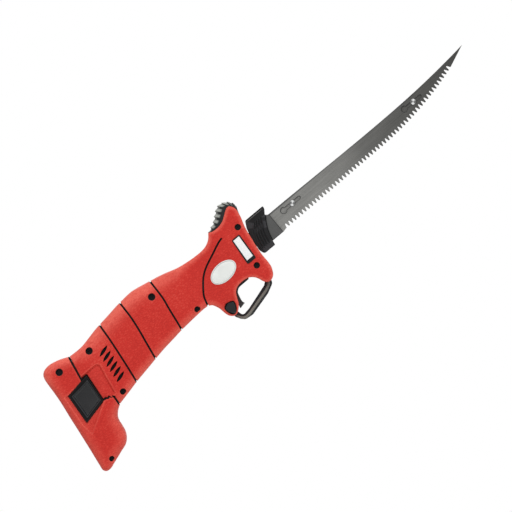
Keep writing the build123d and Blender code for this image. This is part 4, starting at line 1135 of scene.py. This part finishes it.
# ---------------------------------------------------------------- floor, light and camera
FLOOR_DROP = -0.41
FLOOR_SIDE, FLOOR_DEPTH = 2.0, 0.6
floor_mesh = bpy.data.meshes.new("floor")
corners = [(-1, -1), (1, -1), (1, 1), (-1, 1)]
places = [(x * FLOOR_SIDE, y * FLOOR_DEPTH, FLOOR_DROP) for x, y in corners]
floor_mesh.from_pydata(places, [], [(0, 1, 2, 3)])
add_object("floor", floor_mesh)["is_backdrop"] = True
paper = Mat("pale_paper")
floor_mesh.materials.append(
    paper.finish(paper.ramp(paper.noise(6.0), [(0.3, (0.86, 0.86, 0.86)), (0.7, (0.90, 0.90, 0.90))]), 0.7)
)

world = bpy.data.worlds.new("studio")
bpy.context.scene.world = world
world.use_nodes = True
wt = world.node_tree
wt.nodes.clear()
out = wt.nodes.new("ShaderNodeOutputWorld")
mix = wt.nodes.new("ShaderNodeMixShader")
path = wt.nodes.new("ShaderNodeLightPath")
wt.links.new(path.outputs["Is Camera Ray"], mix.inputs["Fac"])
for socket, colour, strength in ((1, (0.96, 0.98, 1.0, 1.0), 0.55), (2, (1.0, 1.0, 1.0, 1.0), 1.0)):
    light = wt.nodes.new("ShaderNodeBackground")
    light.inputs["Color"].default_value = colour
    light.inputs["Strength"].default_value = strength
    wt.links.new(light.outputs[0], mix.inputs[socket])
wt.links.new(mix.outputs[0], out.inputs["Surface"])
bpy.context.scene.view_settings.view_transform = "Standard"


def lamp(name, place, aim, size, power, colour=(1.0, 1.0, 1.0)):
    data = bpy.data.lights.new(name, "AREA")
    data.shape = "RECTANGLE"
    data.size, data.size_y = size
    data.energy = power
    data.color = colour
    obj = add_object(name, data)
    obj.location = place
    obj.rotation_mode = "QUATERNION"
    obj.rotation_quaternion = (Vector(aim) - Vector(place)).to_track_quat("-Z", "Y")


# the picture's right and up directions, as seen along +Y with the knife rolled
ROLL = math.radians(40.0)
SPAN = 0.4741
right = Vector((math.cos(ROLL), 0, -math.sin(ROLL)))
up = Vector((math.sin(ROLL), 0, math.cos(ROLL)))
back = Vector((0, -1, 0))
target = Vector((-0.0102, 0, -0.0139))
lamp("key", target + up * 1.1 - right * 0.5 + back * 1.5, target, (1.4, 1.4), 22)
lamp("fill", target + right * 1.3 + back * 1.2 - up * 0.3, target, (1.2, 1.6), 9)
lamp("rim", target - back * 1.2 + up * 0.9, target, (1.6, 1.0), 8)

DISTANCE = 6.0
camera_data = bpy.data.cameras.new("camera")
camera_data.sensor_width = 36.0
camera_data.lens = 36.0 * DISTANCE / SPAN
camera_data.clip_start, camera_data.clip_end = 0.1, 50.0
camera = add_object("camera", camera_data)
place = target + back * DISTANCE
camera.matrix_world = Matrix([(right[i], up[i], back[i], place[i]) for i in range(3)] + [(0, 0, 0, 1)])
bpy.context.scene.camera = camera

low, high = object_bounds()
